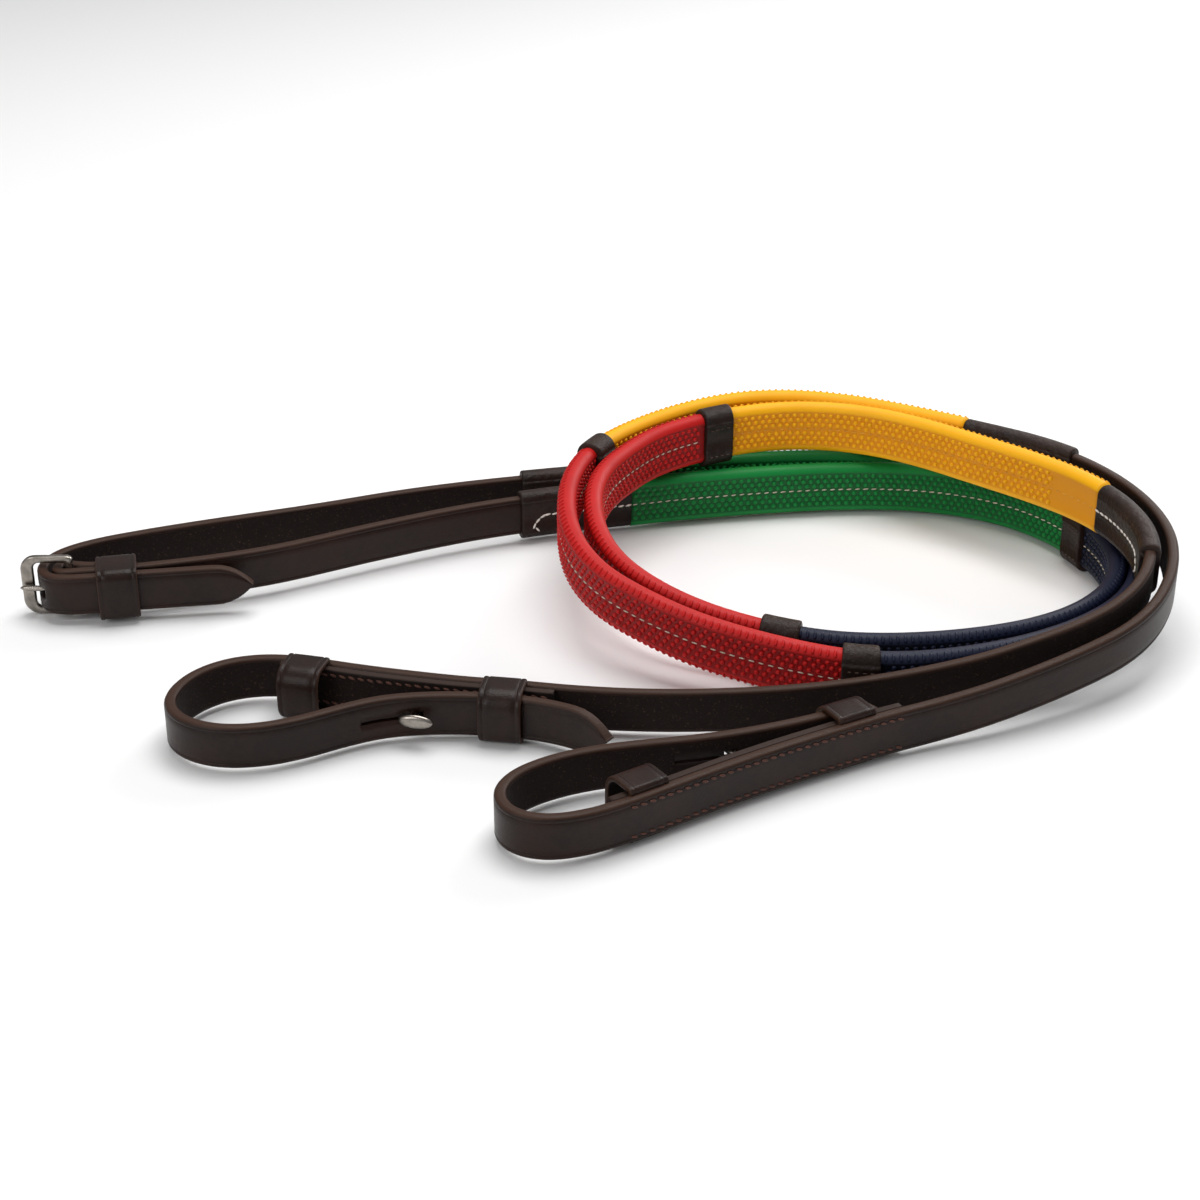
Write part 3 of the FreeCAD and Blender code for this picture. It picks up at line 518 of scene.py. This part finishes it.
class Finish:
    """A material built a node at a time."""

    def __init__(self, name, **constants):
        self.material = bpy.data.materials.new(name)
        self.material.use_nodes = True
        self.nodes = self.material.node_tree.nodes
        self.links = self.material.node_tree.links
        self.shader = self.nodes["Principled BSDF"]
        for key, value in constants.items():
            self.shader.inputs[key.replace("_", " ")].default_value = value
        self.place = self.node("ShaderNodeTexCoord", output="Object")

    def node(self, kind, settings=None, inputs=None, output=0):
        """Adds a node, sets it up, feeds its sockets and gives one of its outputs."""
        made = self.nodes.new(kind)
        for key, value in (settings or {}).items():
            setattr(made, key, value)
        for key, value in (inputs or {}).items():
            self.feed(made.inputs[key], value)
        return Value(self, made.outputs[output])

    def feed(self, socket, value):
        """Links a value to a socket, or sets a plain number or colour on it."""
        if isinstance(value, Value):
            self.links.new(value.socket, socket)
        else:
            socket.default_value = value

    def noise(self, scale, detail=3.0, roughness=0.5):
        return self.node("ShaderNodeTexNoise", None,
                         {"Vector": self.place, "Scale": scale, "Detail": detail,
                          "Roughness": roughness}, "Fac")

    def cells(self, scale):
        return self.node("ShaderNodeTexVoronoi", None,
                         {"Vector": self.place, "Scale": scale}, "Distance")

    def point_value(self, name):
        return self.node("ShaderNodeAttribute", {"attribute_name": name}, None, "Fac")

    def ramp(self, value, low, high):
        """0 below low, 1 above high."""
        return self.node("ShaderNodeMapRange", {"interpolation_type": "SMOOTHSTEP"},
                         {"Value": value, "From Min": low, "From Max": high}, "Result")

    def mix(self, share, first, second):
        """Mixes two colours."""
        return self.node("ShaderNodeMix", {"data_type": "RGBA"},
                         {0: share, 6: first, 7: second}, 2)

    def bump(self, height, strength, distance):
        return self.node("ShaderNodeBump", None,
                         {"Strength": strength, "Distance": distance, "Height": height},
                         "Normal")

    def set(self, **parts):
        for key, value in parts.items():
            self.feed(self.shader.inputs[key.replace("_", " ")], value)
        return self.material


def paint(red, green, blue):
    """A screen colour as the light that a finish gives back."""
    def light(value):
        value /= 255
        return value / 12.92 if value < 0.04045 else ((value + 0.055) / 1.055) ** 2.4
    return (light(red), light(green), light(blue), 1.0)


def leather(name, dark, pale, edge_colour, roughness=0.34, wrinkled=0.0):
    """Waxed bridle leather: grain, burnished paler edges and a suede flesh side."""
    finish = Finish(name, Specular_IOR_Level=0.22)
    cloud = finish.noise(38.0, 4.0, 0.6)
    streak = finish.noise(420.0, 3.0, 0.6)
    edge = finish.point_value("edge")
    flesh = finish.point_value("flesh")
    specks = finish.ramp(finish.noise(1250.0, 2.0, 0.6), 0.6, 0.72)
    colour = finish.mix(finish.ramp(cloud + streak * 0.35, 0.45, 0.9), dark, pale)
    worn = finish.ramp(edge + cloud * 0.5, 0.55, 1.25)
    colour = finish.mix(worn, colour, edge_colour)
    suede = finish.mix(specks, paint(26, 16, 12), paint(62, 44, 35))
    colour = finish.mix(flesh, colour, suede)
    grain = finish.cells(1900.0)
    rough_side = finish.noise(1100.0, 3.0, 0.7)
    height = grain * (1 - flesh) * 0.5 + rough_side * (flesh * 2.2 + edge * 0.8)
    if wrinkled:
        height = height + finish.noise(240.0, 4.0, 0.65) * (5.0 * wrinkled)
    shine = roughness + cloud * 0.16 + flesh * 0.42 + edge * 0.14
    return finish.set(Base_Color=colour, Roughness=shine,
                      Normal=finish.bump(height, 0.55, 0.00022))


def rubber(name, colour, shade, roughness=0.5):
    """Moulded rubber with painted shade in its hollows, the flat faces between the ridges, and a
    faint bloom.
    """
    finish = Finish(name, Specular_IOR_Level=0.28)
    cloud = finish.noise(60.0, 3.0, 0.6)
    fine = finish.noise(900.0, 3.0, 0.6)
    edge = finish.point_value("edge")
    # painted shade: the flat faces between the ridges take the darker shade colour, the rounded
    # ridges the full colour
    tone_with_painted_shade = finish.mix(finish.ramp(edge, 0.0, 0.35), shade, colour)
    # random patches mixed a little toward the same darker colour
    tone_with_painted_shade = finish.mix(finish.ramp(cloud, 0.35, 0.8) * 0.25, tone_with_painted_shade, shade)
    return finish.set(Base_Color=tone_with_painted_shade, Roughness=roughness + cloud * 0.14,
                      Normal=finish.bump(fine, 0.35, 0.0001))


def thread(name, colour, shade):
    finish = Finish(name, Roughness=0.75)
    twist = finish.ramp(finish.noise(2600.0, 2.0), 0.35, 0.65)
    return finish.set(Base_Color=finish.mix(twist, shade, colour),
                      Normal=finish.bump(twist, 0.5, 0.0001))


def metal(name, colour, shade):
    """Satin nickel with fine polishing lines."""
    finish = Finish(name, Metallic=1.0)
    cloud = finish.noise(180.0, 4.0, 0.6)
    lines = finish.noise(2400.0, 2.0, 0.6)
    return finish.set(Base_Color=finish.mix(finish.ramp(cloud, 0.4, 0.75), colour, shade),
                      Roughness=0.2 + cloud * 0.18,
                      Normal=finish.bump(lines, 0.12, 0.00004))


BRIDLE = leather("bridle_leather", paint(23, 11, 6), paint(39, 21, 13), paint(56, 35, 24), 0.3)
COVER = leather("cover_leather", paint(23, 14, 11), paint(41, 27, 21), paint(56, 39, 31),
                0.32, 1.5)
LINING = leather("lining_leather", paint(22, 13, 10), paint(34, 21, 17), paint(48, 33, 26), 0.46)
# each rubber's own colour, then a darker colour that is painted shade for the flat faces between
# the pips
RUBBER = {
    "green": ((0, 124, 52), (0, 88, 36)),
    "navy": ((14, 21, 46), (6, 9, 22)),
    "red": ((186, 16, 14), (140, 10, 10)),
    "yellow": ((242, 174, 0), (224, 146, 0)),
}
GRIP_FINISH = {c: rubber(c + "_rubber", paint(*light), paint(*dark), 0.46)
               for c, (light, dark) in RUBBER.items()}
# the pips take the own colour with no painted shade, so they stand lighter than the faces
PIP_FINISH = {c: rubber(c + "_pips", paint(*light), paint(*light), 0.42)
              for c, (light, dark) in RUBBER.items()}
CREAM_THREAD = thread("cream_thread", paint(232, 222, 204), paint(186, 172, 150))
WHITE_THREAD = thread("white_thread", paint(240, 234, 226), paint(200, 190, 178))
BROWN_THREAD = thread("brown_thread", paint(96, 54, 40), paint(56, 32, 24))
DARK_THREAD = thread("dark_thread", paint(104, 84, 74), paint(60, 46, 40))
AMBER_THREAD = thread("amber_thread", paint(236, 176, 60), paint(196, 124, 24))
GRIP_THREAD = {"green": CREAM_THREAD, "navy": CREAM_THREAD, "red": CREAM_THREAD,
               "yellow": AMBER_THREAD}
NICKEL = metal("satin_nickel", (0.31, 0.28, 0.25, 1.0), (0.17, 0.155, 0.135, 1.0))

# ---------------------------------------------------------------- repeated small forms


def build_bead_tree():
    """Geometry Nodes: a small rounded form on every point, turned by the point's own
    out and run directions, with a slight spread in size."""
    tree = bpy.data.node_groups.new("beads", "GeometryNodeTree")
    face = tree.interface
    face.new_socket(name="Points", in_out="INPUT", socket_type="NodeSocketGeometry")
    for name, kind in (("Length", "Float"), ("Width", "Float"), ("Height", "Float"),
                       ("Spread", "Float"), ("Sides", "Int"), ("Rings", "Int"),
                       ("Seed", "Int"), ("Finish", "Material")):
        face.new_socket(name=name, in_out="INPUT", socket_type="NodeSocket" + kind)
    face.new_socket(name="Beads", in_out="OUTPUT", socket_type="NodeSocketGeometry")
    nodes, links = tree.nodes, tree.links
    given = nodes.new("NodeGroupInput").outputs

    def add(kind, settings=None, inputs=None):
        made = nodes.new(kind)
        for key, value in (settings or {}).items():
            setattr(made, key, value)
        for key, value in (inputs or {}).items():
            if isinstance(value, bpy.types.NodeSocket):
                links.new(value, made.inputs[key])
            else:
                made.inputs[key].default_value = value
        return made.outputs

    ball = add("GeometryNodeMeshUVSphere", None,
               {"Segments": given["Sides"], "Rings": given["Rings"], "Radius": 0.5})
    out = add("GeometryNodeInputNamedAttribute", {"data_type": "FLOAT_VECTOR"}, {"Name": "out"})
    run = add("GeometryNodeInputNamedAttribute", {"data_type": "FLOAT_VECTOR"}, {"Name": "run"})
    turn = add("FunctionNodeAxesToRotation", {"primary_axis": "Z", "secondary_axis": "X"},
               {"Primary Axis": out["Attribute"], "Secondary Axis": run["Attribute"]})
    small = add("ShaderNodeMath", {"operation": "SUBTRACT"}, {0: 1.0, 1: given["Spread"]})
    share = add("FunctionNodeRandomValue", {"data_type": "FLOAT"},
                {2: small["Value"], 3: 1.0, "Seed": given["Seed"]})
    size = add("ShaderNodeCombineXYZ", None,
               {"X": given["Length"], "Y": given["Width"], "Z": given["Height"]})
    scale = add("ShaderNodeVectorMath", {"operation": "SCALE"},
                {0: size["Vector"], "Scale": share[1]})
    placed = add("GeometryNodeInstanceOnPoints", None,
                 {"Points": given["Points"], "Instance": ball["Mesh"],
                  "Rotation": turn["Rotation"], "Scale": scale["Vector"]})
    whole = add("GeometryNodeRealizeInstances", None, {"Geometry": placed["Instances"]})
    smooth = add("GeometryNodeSetShadeSmooth", None, {"Geometry": whole["Geometry"]})
    painted = add("GeometryNodeSetMaterial", None,
                  {"Geometry": smooth["Geometry"], "Material": given["Finish"]})
    links.new(painted["Geometry"], nodes.new("NodeGroupOutput").inputs[0])
    return tree


BEADS = build_bead_tree()


def beads(name, spots, size, finish, body="reins", spread=0.12, sides=8,
          rings=5):
    """One piece of small rounded forms. spots are (position, out, run) in metres and
    size is (length, width, height) in mm."""
    places, outs, runs = (np.array([s[k] for s in spots], float) for k in range(3))
    mesh = bpy.data.meshes.new(name + "_points")
    mesh.from_pydata([tuple(p) for p in places], [], [])
    for key, rows in (("out", outs), ("run", runs)):
        layer = mesh.attributes.new(key, "FLOAT_VECTOR", "POINT")
        layer.data.foreach_set("vector", rows.astype(np.float32).ravel())
    source = bpy.data.objects.new(name + "_points", mesh)
    bpy.context.scene.collection.objects.link(source)
    maker = source.modifiers.new("beads", "NODES")
    maker.node_group = BEADS
    wanted = {"Length": size[0] * MM, "Width": size[1] * MM, "Height": size[2] * MM,
              "Spread": spread, "Sides": sides, "Rings": rings, "Seed": 7,
              "Finish": finish}
    for socket in BEADS.interface.items_tree:
        if socket.in_out == "INPUT" and socket.name in wanted:
            maker[socket.identifier] = wanted[socket.name]
    bpy.context.view_layer.update()
    ready = source.evaluated_get(bpy.context.evaluated_depsgraph_get())
    made = bpy.data.meshes.new_from_object(ready)
    made.name = name
    piece = bpy.data.objects.new(name, made)
    bpy.context.scene.collection.objects.link(piece)
    bpy.data.objects.remove(source)
    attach(piece, body)
    return piece


def rests(piece, slot, *nodes, body="reins"):
    """Hands a finished piece to its body, in place of CAD nodes."""
    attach(piece, body)
    if nodes:
        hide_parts(*nodes)


def steps(start, end, pitch):
    """Evenly spaced places from start to end, in metres, about a pitch in mm apart."""
    return np.linspace(start, end, max(2, round((end - start) / (pitch * MM)) + 1))


def on_face(line, places, side, across, height, lean=0.0):
    """Spots on one face of a piece that follows a line: across and height in mm."""
    position, heading, left = line.spot(places)
    out = left * side
    run = heading + UP * lean
    return [(p + o * across * MM + UP * height * MM, o, r)
            for p, o, r in zip(position, out, run)]


# ---------------------------------------------------------------- rubber grips

SMOOTH_END = 25 * MM


def make_grip(rein, line, colour, span, first, last):
    """One rubber grip with its pips, the ribs on its ridges and its stitching."""
    name = "%s_%s_grip" % (rein, colour)
    slot = colour + "_rubber"
    start, end = span
    body = sweep(name + "_rubber", line, steps(start, end, 2.0),
                 rubber_section(GRIP_THICK, GRIP_TALL), GRIP_FINISH[colour])
    nodes = [name, rein + "_grip_core"] if first else [name]
    rests(body, slot, *nodes)
    clear = (0.5 if first else 7.0) * MM
    pip_start = start + clear + 1.2 * MM
    pip_end = end - (SMOOTH_END if last else 8.5 * MM)
    pips = []
    for number, height in enumerate(PIP_ROWS):
        shift = PIP_PITCH / 2 * MM * (number % 2)
        places = np.arange(pip_start + shift, pip_end, PIP_PITCH * MM)
        for side in (1, -1):
            pips += on_face(line, places, side, GRIP_FACE, height)
    beads(name + "_pips", pips, PIP_SIZE, PIP_FINISH[colour], spread=0.08)
    ribs = []
    ridge = GRIP_TALL / 2 - GRIP_THICK / 2
    rib_end = end - (1.0 if last else 7.5) * MM
    places = np.arange(start + clear + 0.8 * MM, rib_end, RIB_PITCH * MM)
    position, heading, left = line.spot(places)
    for up in (1, -1):
        lean = math.radians(46)
        out = left * math.cos(lean) + UP * math.sin(lean) * up
        at = position + UP * ridge * up * MM + out * (GRIP_THICK / 2 - 0.02) * MM
        across = np.cross(heading, out)
        ribs += list(zip(at, out, across))
    beads(name + "_ribs", ribs, RIB_SIZE, PIP_FINISH[colour], spread=0.05)
    seam = np.arange(start + clear + 1.0 * MM, rib_end, GRIP_STITCH_PITCH * MM)
    spots = []
    for side in (1, -1):
        spots += on_face(line, seam, side, GRIP_FACE + 0.05, 0.0, lean=0.12)
    beads(name + "_stitches", spots, GRIP_STITCH, GRIP_THREAD[colour])


def soft_ends(start, end, aways, insets):
    """Places from start to end, closer at both ends, and how far a cover draws in at
    each. aways and insets are in mm, counted from the end."""
    places = [start + away * MM for away in aways]
    places += list(steps(start + 2 * MM, end - 2 * MM, 2.0))
    places += [end - away * MM for away in aways[::-1]]
    level = [0.0] * (len(places) - 2 * len(insets))
    return places, [*insets, *level, *insets[::-1]]


def make_stop(rein, line, name, span):
    """Leather hand stop: a stitched band whose end laps over near its top."""
    node = "%s_%s_stop" % (rein, name)
    start, end = span
    thick = GRIP_THICK + 2 * STOP_WALL + 0.2
    tall = GRIP_TALL + 2 * STOP_WALL
    places, shrink = soft_ends(start, end, (0.0, 0.12, 0.4, 0.9), (0.7, 0.3, 0.08, 0.0))
    outlines = [cover_section(thick, tall, 5.3, inset, 0.55 * (inset < 0.2))
                for inset in shrink]
    stop = sweep(node + "_band", line, places, outlines, COVER)
    rests(stop, "bridle_leather", node)
    rows = steps(start + 2.6 * MM, end - 2.6 * MM, 2.4)
    spots = []
    for side in (1, -1):
        for height in (4.6, -7.2):
            spots += on_face(line, rows, side, thick / 2 + 0.02, height)
    return spots


# the last stitches of a sleeve, which turn down and curl back: how far from the
# rubber's end, at what height and how steeply each one lies
HOOK = ((37.5, -0.1, -0.5), (39.7, -1.8, -1.1), (41.2, -4.0, -2.4), (39.9, -5.7, 1.2))


def make_sleeve(rein, line, name, span):
    """Leather sleeve over the end of the rubber, stitched along its middle."""
    node = "%s_%s_sleeve" % (rein, name)
    start, end = span
    places, shrink = soft_ends(start, end, (0.0, 0.15, 0.45, 1.0), (0.8, 0.35, 0.1, 0.0))
    outlines = [cover_section(SLEEVE_THICK, SLEEVE_TALL, 3.6, inset) for inset in shrink]
    sleeve = sweep(node + "_cover", line, places, outlines, COVER)
    rests(sleeve, "bridle_leather", node)
    toward = 1 if name == "outer" else -1
    rubber_end = start if name == "outer" else end
    seam = rubber_end + toward * np.arange(1.5, 36.0, 3.1) * MM
    spots = []
    for side in (1, -1):
        across = SLEEVE_THICK / 2 + 0.02
        spots += on_face(line, seam, side, across, 0.4, lean=-0.18 * toward)
        for away, height, lean in HOOK:
            place = [rubber_end + toward * away * MM]
            spots += on_face(line, place, side, across, height, lean=lean * toward)
    return spots


# ---------------------------------------------------------------- leather ends


def pointed_places(tip, back, length):
    """Places towards a strap's tip, closer together at the very end, with the share
    of the full width that is left at each. back is the way from the tip."""
    away = np.array([0.06, 0.3, 0.8, 1.6, 2.8, 4.4, 6.6, 9.4, 12.6, 16.0]) * length / 16
    share = 1 - (1 - away / length) ** 2.34
    return tip + back * away * MM, np.maximum(share, 0.03)


def make_keeper(rein, line, name, side):
    """Fixed loop: a creased band whose base passes under the lining."""
    node = "%s_%s_keeper" % (rein, name)
    middle = place_of(rein, SPOTS[rein][name + "_keeper"])
    position, heading, left = line.spot(middle)
    near = STRAP_THICK / 2
    far = near + KEEPER_OPENING
    half = STRAP_WIDE / 2 + 0.3
    path = rounded_path(near - KEEPER_BASE / 2, far + KEEPER_WALL / 2,
                        -half - KEEPER_WALL / 2, half + KEEPER_WALL / 2,
                        (0.7, 5.6, 5.6, 0.7))
    band_section = strip(-KEEPER_WALL / 2, KEEPER_WALL / 2, KEEPER_LONG, 0.75, (1,), -1, 1.9)
    thin = band_section.copy()
    thin[:, 0] *= KEEPER_BASE / KEEPER_WALL
    sections = [thin if row[0] < near and abs(row[1]) < half else band_section
                for row in path]
    ring = band(node + "_band", position, (left * side, UP, heading), path, sections, BRIDLE)
    rests(ring, "bridle_leather", node)


def make_bit_end(rein, line, start):
    """Strap from the outer sleeve round the bit loop to the billet's tip, with its
    lining, keepers and hook stud."""
    side = FLESH[rein]
    tip, share = pointed_places(line.length, -1, POINT_LONG)
    places = np.concatenate((steps(start, tip[-1] - 1.5 * MM, 1.5), tip[::-1]))
    outline = strip(-STRAP_THICK / 2, STRAP_THICK / 2, STRAP_WIDE, 1.5, (-side,), side)
    outlines = np.repeat(outline[None], len(places), axis=0)
    outlines[-len(tip):, :, 1] *= share[::-1][:, None]
    strap = sweep(rein + "_bit_leather", line, places, outlines, BRIDLE)

    low, high = (place_of(rein, spot) for spot in SPOTS[rein]["lining"])
    inner = sorted((side * STRAP_THICK / 2, side * (STRAP_THICK / 2 + LINING_THICK)))
    lining = sweep(rein + "_lining_strip", line, steps(low, high, 2.0),
                   strip(inner[0], inner[1], STRAP_WIDE - 1, 0.6, (), side), LINING)
    rests(lining, "flesh_leather", rein + "_lining")
    for name in ("first", "second"):
        make_keeper(rein, line, name, side)

    # the hook stud stands on the lining and passes through the billet's slit
    stud = rein + "_hook_stud"
    axis, heading, left = line.spot(place_of(rein, SPOTS[rein]["stud"]))
    out = left * side
    head = max((np.array(v.co) - axis) @ out / MM
               for v in frame["nodes"][stud].data.vertices)
    neck = turned(stud + "_neck", axis, out, heading,
                  [(0.1, 2.0), (3.1, 2.05), (3.3, 2.3), (2.4, 2.9), (1.5, 3.6),
                   (1.4, head - 2.0), (2.2, head - 1.9), (0.1, head - 1.8)], 1.0, NICKEL)
    rests(neck, "nickel")
    dome = turned(stud + "_head", axis, out, heading,
                  [(0.05, head - 1.9), (2.3, head - 1.9), (2.55, head - 1.6),
                   (2.55, head - 1.1), (2.3, head - 0.6), (1.8, head - 0.25),
                   (1.0, head - 0.05), (0.05, head)], 12.5 / 5.2, NICKEL)
    rests(dome, "nickel", stud)

    beyond = line.nearest(Vector(axis + out * (head - 4.5) * MM))
    at, along, _ = line.spot(beyond)
    turn = math.atan2(along[1], along[0])
    cut_out(strap, *BILLET_SLIT, turn, at)
    cut_out(strap, *BILLET_HOLE, turn, at)
    rests(strap, "bridle_leather", rein + "_bit_strap")

    spots = []
    rows = np.arange(low + 3 * MM, high - 3 * MM, 3.4 * MM)
    for height in (5.5, -5.5):
        spots += on_face(line, rows, -side, STRAP_THICK / 2 + 0.02, height, lean=0.3)
        spots += on_face(line, rows, side, STRAP_THICK / 2 + LINING_THICK + 0.02,
                         height, lean=0.3)
    return spots


for rein in REINS:
    line = LINES[rein]
    spans = laid_out(rein)
    stop_thread, sleeve_thread = [], []
    for colour in COLOURS:
        make_grip(rein, line, colour, spans[colour + "_grip"], colour == COLOURS[0],
                  colour == COLOURS[-1])
    for name in ("first", "second", "third"):
        stop_thread += make_stop(rein, line, name, spans[name + "_stop"])
    for name in ("inner", "outer"):
        sleeve_thread += make_sleeve(rein, line, name, spans[name + "_sleeve"])
    lining_thread = make_bit_end(rein, line, spans["outer_sleeve"][1] - 24 * MM)
    beads(rein + "_stop_stitches", stop_thread, STOP_STITCH, DARK_THREAD)
    beads(rein + "_sleeve_stitches", sleeve_thread, SLEEVE_STITCH, WHITE_THREAD)
    beads(rein + "_lining_stitches", lining_thread, LINING_STITCH, BROWN_THREAD)

# ---------------------------------------------------------------- buckle ends

# strap with the chape: folded round the buckle's bar and skived at its end
line = LINES["buckle_rein"]
bar = np.array(frame["joints"][0]["pos_m"])
high = place_of("buckle_rein", SPOTS["buckle_rein"]["grips"]) + SLEEVE_LONG / 2 * MM
places = np.concatenate((steps(0.0, 60 * MM, 0.8)[:-1], steps(60 * MM, high, 2.0)))
full = strip(-STRAP_THICK / 2, STRAP_THICK / 2, STRAP_WIDE, 1.5, (-1,), 1)
chape_end = line.nearest(Vector((bar[0] + 2.4 * MM, bar[1] + 2.8 * MM, bar[2])))
outlines = []
for place in places:
    share = min(1.0, max(0.0, (place - chape_end + 6 * MM) / (5 * MM)))
    outline = full.copy()
    low_side = outline[:, 0] < -0.69
    outline[low_side, 0] = outline[low_side, 0] * share - 0.7 * (1 - share)
    outlines.append(outline)
chape = sweep("buckle_rein_buckle_leather", line, places, outlines, BRIDLE)
cut_out(chape, *CHAPE_SLOT, 0.0, bar)
rests(chape, "bridle_leather", "buckle_rein_buckle_strap")

# the other rein's point, with its hole for the tongue
line = LINES["pointed_rein"]
high = place_of("pointed_rein", SPOTS["pointed_rein"]["grips"]) + SLEEVE_LONG / 2 * MM
tip, share = pointed_places(0.0, 1, POINT_LONG)
places = np.concatenate((tip, steps(tip[-1] + 1.5 * MM, high, 1.5)))
outline = strip(-STRAP_THICK / 2, STRAP_THICK / 2, STRAP_WIDE, 1.5, (1,), -1)
outlines = np.repeat(outline[None], len(places), axis=0)
outlines[:len(tip), :, 1] *= share[:, None]
point = sweep("pointed_rein_buckle_leather", line, places, outlines, BRIDLE)
# right through the front where the tongue swings out, and only a groove behind it
cut_out(point, *TONGUE_HOLE, 0.0, bar)
cut_out(point, *TONGUE_GROOVE, 0.0, bar)
rests(point, "bridle_leather", "pointed_rein_buckle_strap")

# keeper round the chape and the point
line = LINES["buckle_rein"]
position, heading, left = line.spot(line.nearest((-180.3 * MM, 28.5 * MM, bar[2])))
lefts = [(np.array(v.co) - position) @ left / MM
         for v in frame["nodes"]["centre_keeper"].data.vertices]
half = STRAP_WIDE / 2 + 0.3 + KEEPER_WALL / 2
path = rounded_path(min(lefts) + KEEPER_WALL / 2, max(lefts) - KEEPER_WALL / 2, -half, half,
                    (3.0, 3.0, 3.0, 3.0))
ring = band("centre_keeper_band", position, (left, UP, heading), path,
            strip(-KEEPER_WALL / 2, KEEPER_WALL / 2, KEEPER_LONG, 0.75, (1,), -1, 1.9), BRIDLE)
rests(ring, "bridle_leather", "centre_keeper")

# nickel frame: a round-cornered ring, flatter on its far side
X, Y = np.array((1.0, 0, 0)), np.array((0, 1.0, 0))
outer = rounded_path(*FRAME_OUTSIDE, 11)[:, :2]
inner = rounded_path(*FRAME_OPENING, 11)[:, :2]
wide = np.linalg.norm(outer - inner, axis=1, keepdims=True)
path = np.hstack(((outer + inner) / 2, (outer - inner) / wide))
turn = np.linspace(0, 2 * math.pi, 25)[:-1]
squared = np.stack((np.sign(np.cos(turn)) * np.abs(np.cos(turn)) ** 0.7,
                    np.sign(np.sin(turn)) * np.abs(np.sin(turn)) ** 0.7), axis=1)
sections = []
for row, across in zip(path, wide[:, 0]):
    plate = min(1.0, max(0.0, -row[0] / 9.0))
    half_thick = 1.55 - 0.35 * plate
    sections.append([(u * across / 2, v * half_thick, 0.0, 0.0) for u, v in squared])
ring = band("buckle_frame_ring", bar, (X, UP, Y), path, sections, NICKEL)
rests(ring, "nickel", "buckle_frame", body="frame")

# tongue: an eye round the bar and a tapering arm on the frame's far side
eye_path = [(3.15 * math.cos(t), 3.15 * math.sin(t), math.cos(t), math.sin(t))
            for t in np.linspace(0, 2 * math.pi, 33)[:-1]]
eye = band("buckle_tongue_eye", bar, (X, Y, UP), eye_path,
           [(l, u, 0, 0) for l, u in rounded_path(-0.7, 0.7, -1.45, 1.45,
                                                  (0.5,) * 4, 4)[:, :2]], NICKEL)
rests(eye, "nickel", "buckle_tongue", body="tongue")
run = np.linspace(0, 1, 24)
arm_x = -1.2 - TONGUE_REACH * run
arm_y = -3.05 - 0.25 * np.sin(math.pi * run)
points = bar + np.stack((arm_x, arm_y, np.zeros_like(run)), axis=1) * MM
radii = 1.28 - 0.3 * run
radii[-3:] *= (0.92, 0.72, 0.3)
arm = rod("buckle_tongue_arm", points, radii, NICKEL)
rests(arm, "nickel", body="tongue")

# ---------------------------------------------------------------- floor, light, camera


def light(name, place, aim, size, watts):
    """Soft square light that looks at a point."""
    lamp = bpy.data.lights.new(name, "AREA")
    lamp.shape = "RECTANGLE"
    lamp.size, lamp.size_y = size
    lamp.energy = watts
    made = bpy.data.objects.new(name, lamp)
    made.location = place
    made.rotation_euler = (Vector(aim) - Vector(place)).to_track_quat("-Z", "Y").to_euler()
    bpy.context.scene.collection.objects.link(made)


floor_mesh = bpy.data.meshes.new("floor")
floor_mesh.from_pydata([(-6, -6, 0), (6, -6, 0), (6, 9, 0), (-6, 9, 0)], [], [(0, 1, 2, 3)])
floor_finish = Finish("pale_floor", Roughness=0.9)
floor_finish.set(Base_Color=(0.86, 0.86, 0.86, 1.0))
floor_mesh.materials.append(floor_finish.material)
floor = bpy.data.objects.new("floor", floor_mesh)
bpy.context.scene.collection.objects.link(floor)
floor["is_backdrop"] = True

world = bpy.data.worlds.new("studio")
bpy.context.scene.world = world
world.use_nodes = True
world.node_tree.nodes["Background"].inputs["Color"].default_value = (1, 1, 1, 1)
world.node_tree.nodes["Background"].inputs["Strength"].default_value = 0.34
light("overhead", (0.1, 0.25, 1.4), (0, 0, 0), (1.1, 0.9), 17)
light("front_left", (-1.1, -1.2, 0.9), (0, 0, 0.02), (0.8, 0.8), 9)
light("back_right", (0.9, 1.1, 0.8), (0, 0, 0.02), (0.8, 0.6), 9)

camera_data = bpy.data.cameras.new("camera")
camera_data.lens = 66.0
camera_data.sensor_width = 36.0
camera_data.clip_start = 0.01
camera = bpy.data.objects.new("camera", camera_data)
camera.location = (2.5 * MM, -714.9 * MM, 389.6 * MM)
camera.rotation_euler = (math.radians(90 - 27.3), 0, 0)
bpy.context.scene.collection.objects.link(camera)
bpy.context.scene.camera = camera
bpy.context.scene.view_settings.view_transform = "Standard"

low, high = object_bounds()
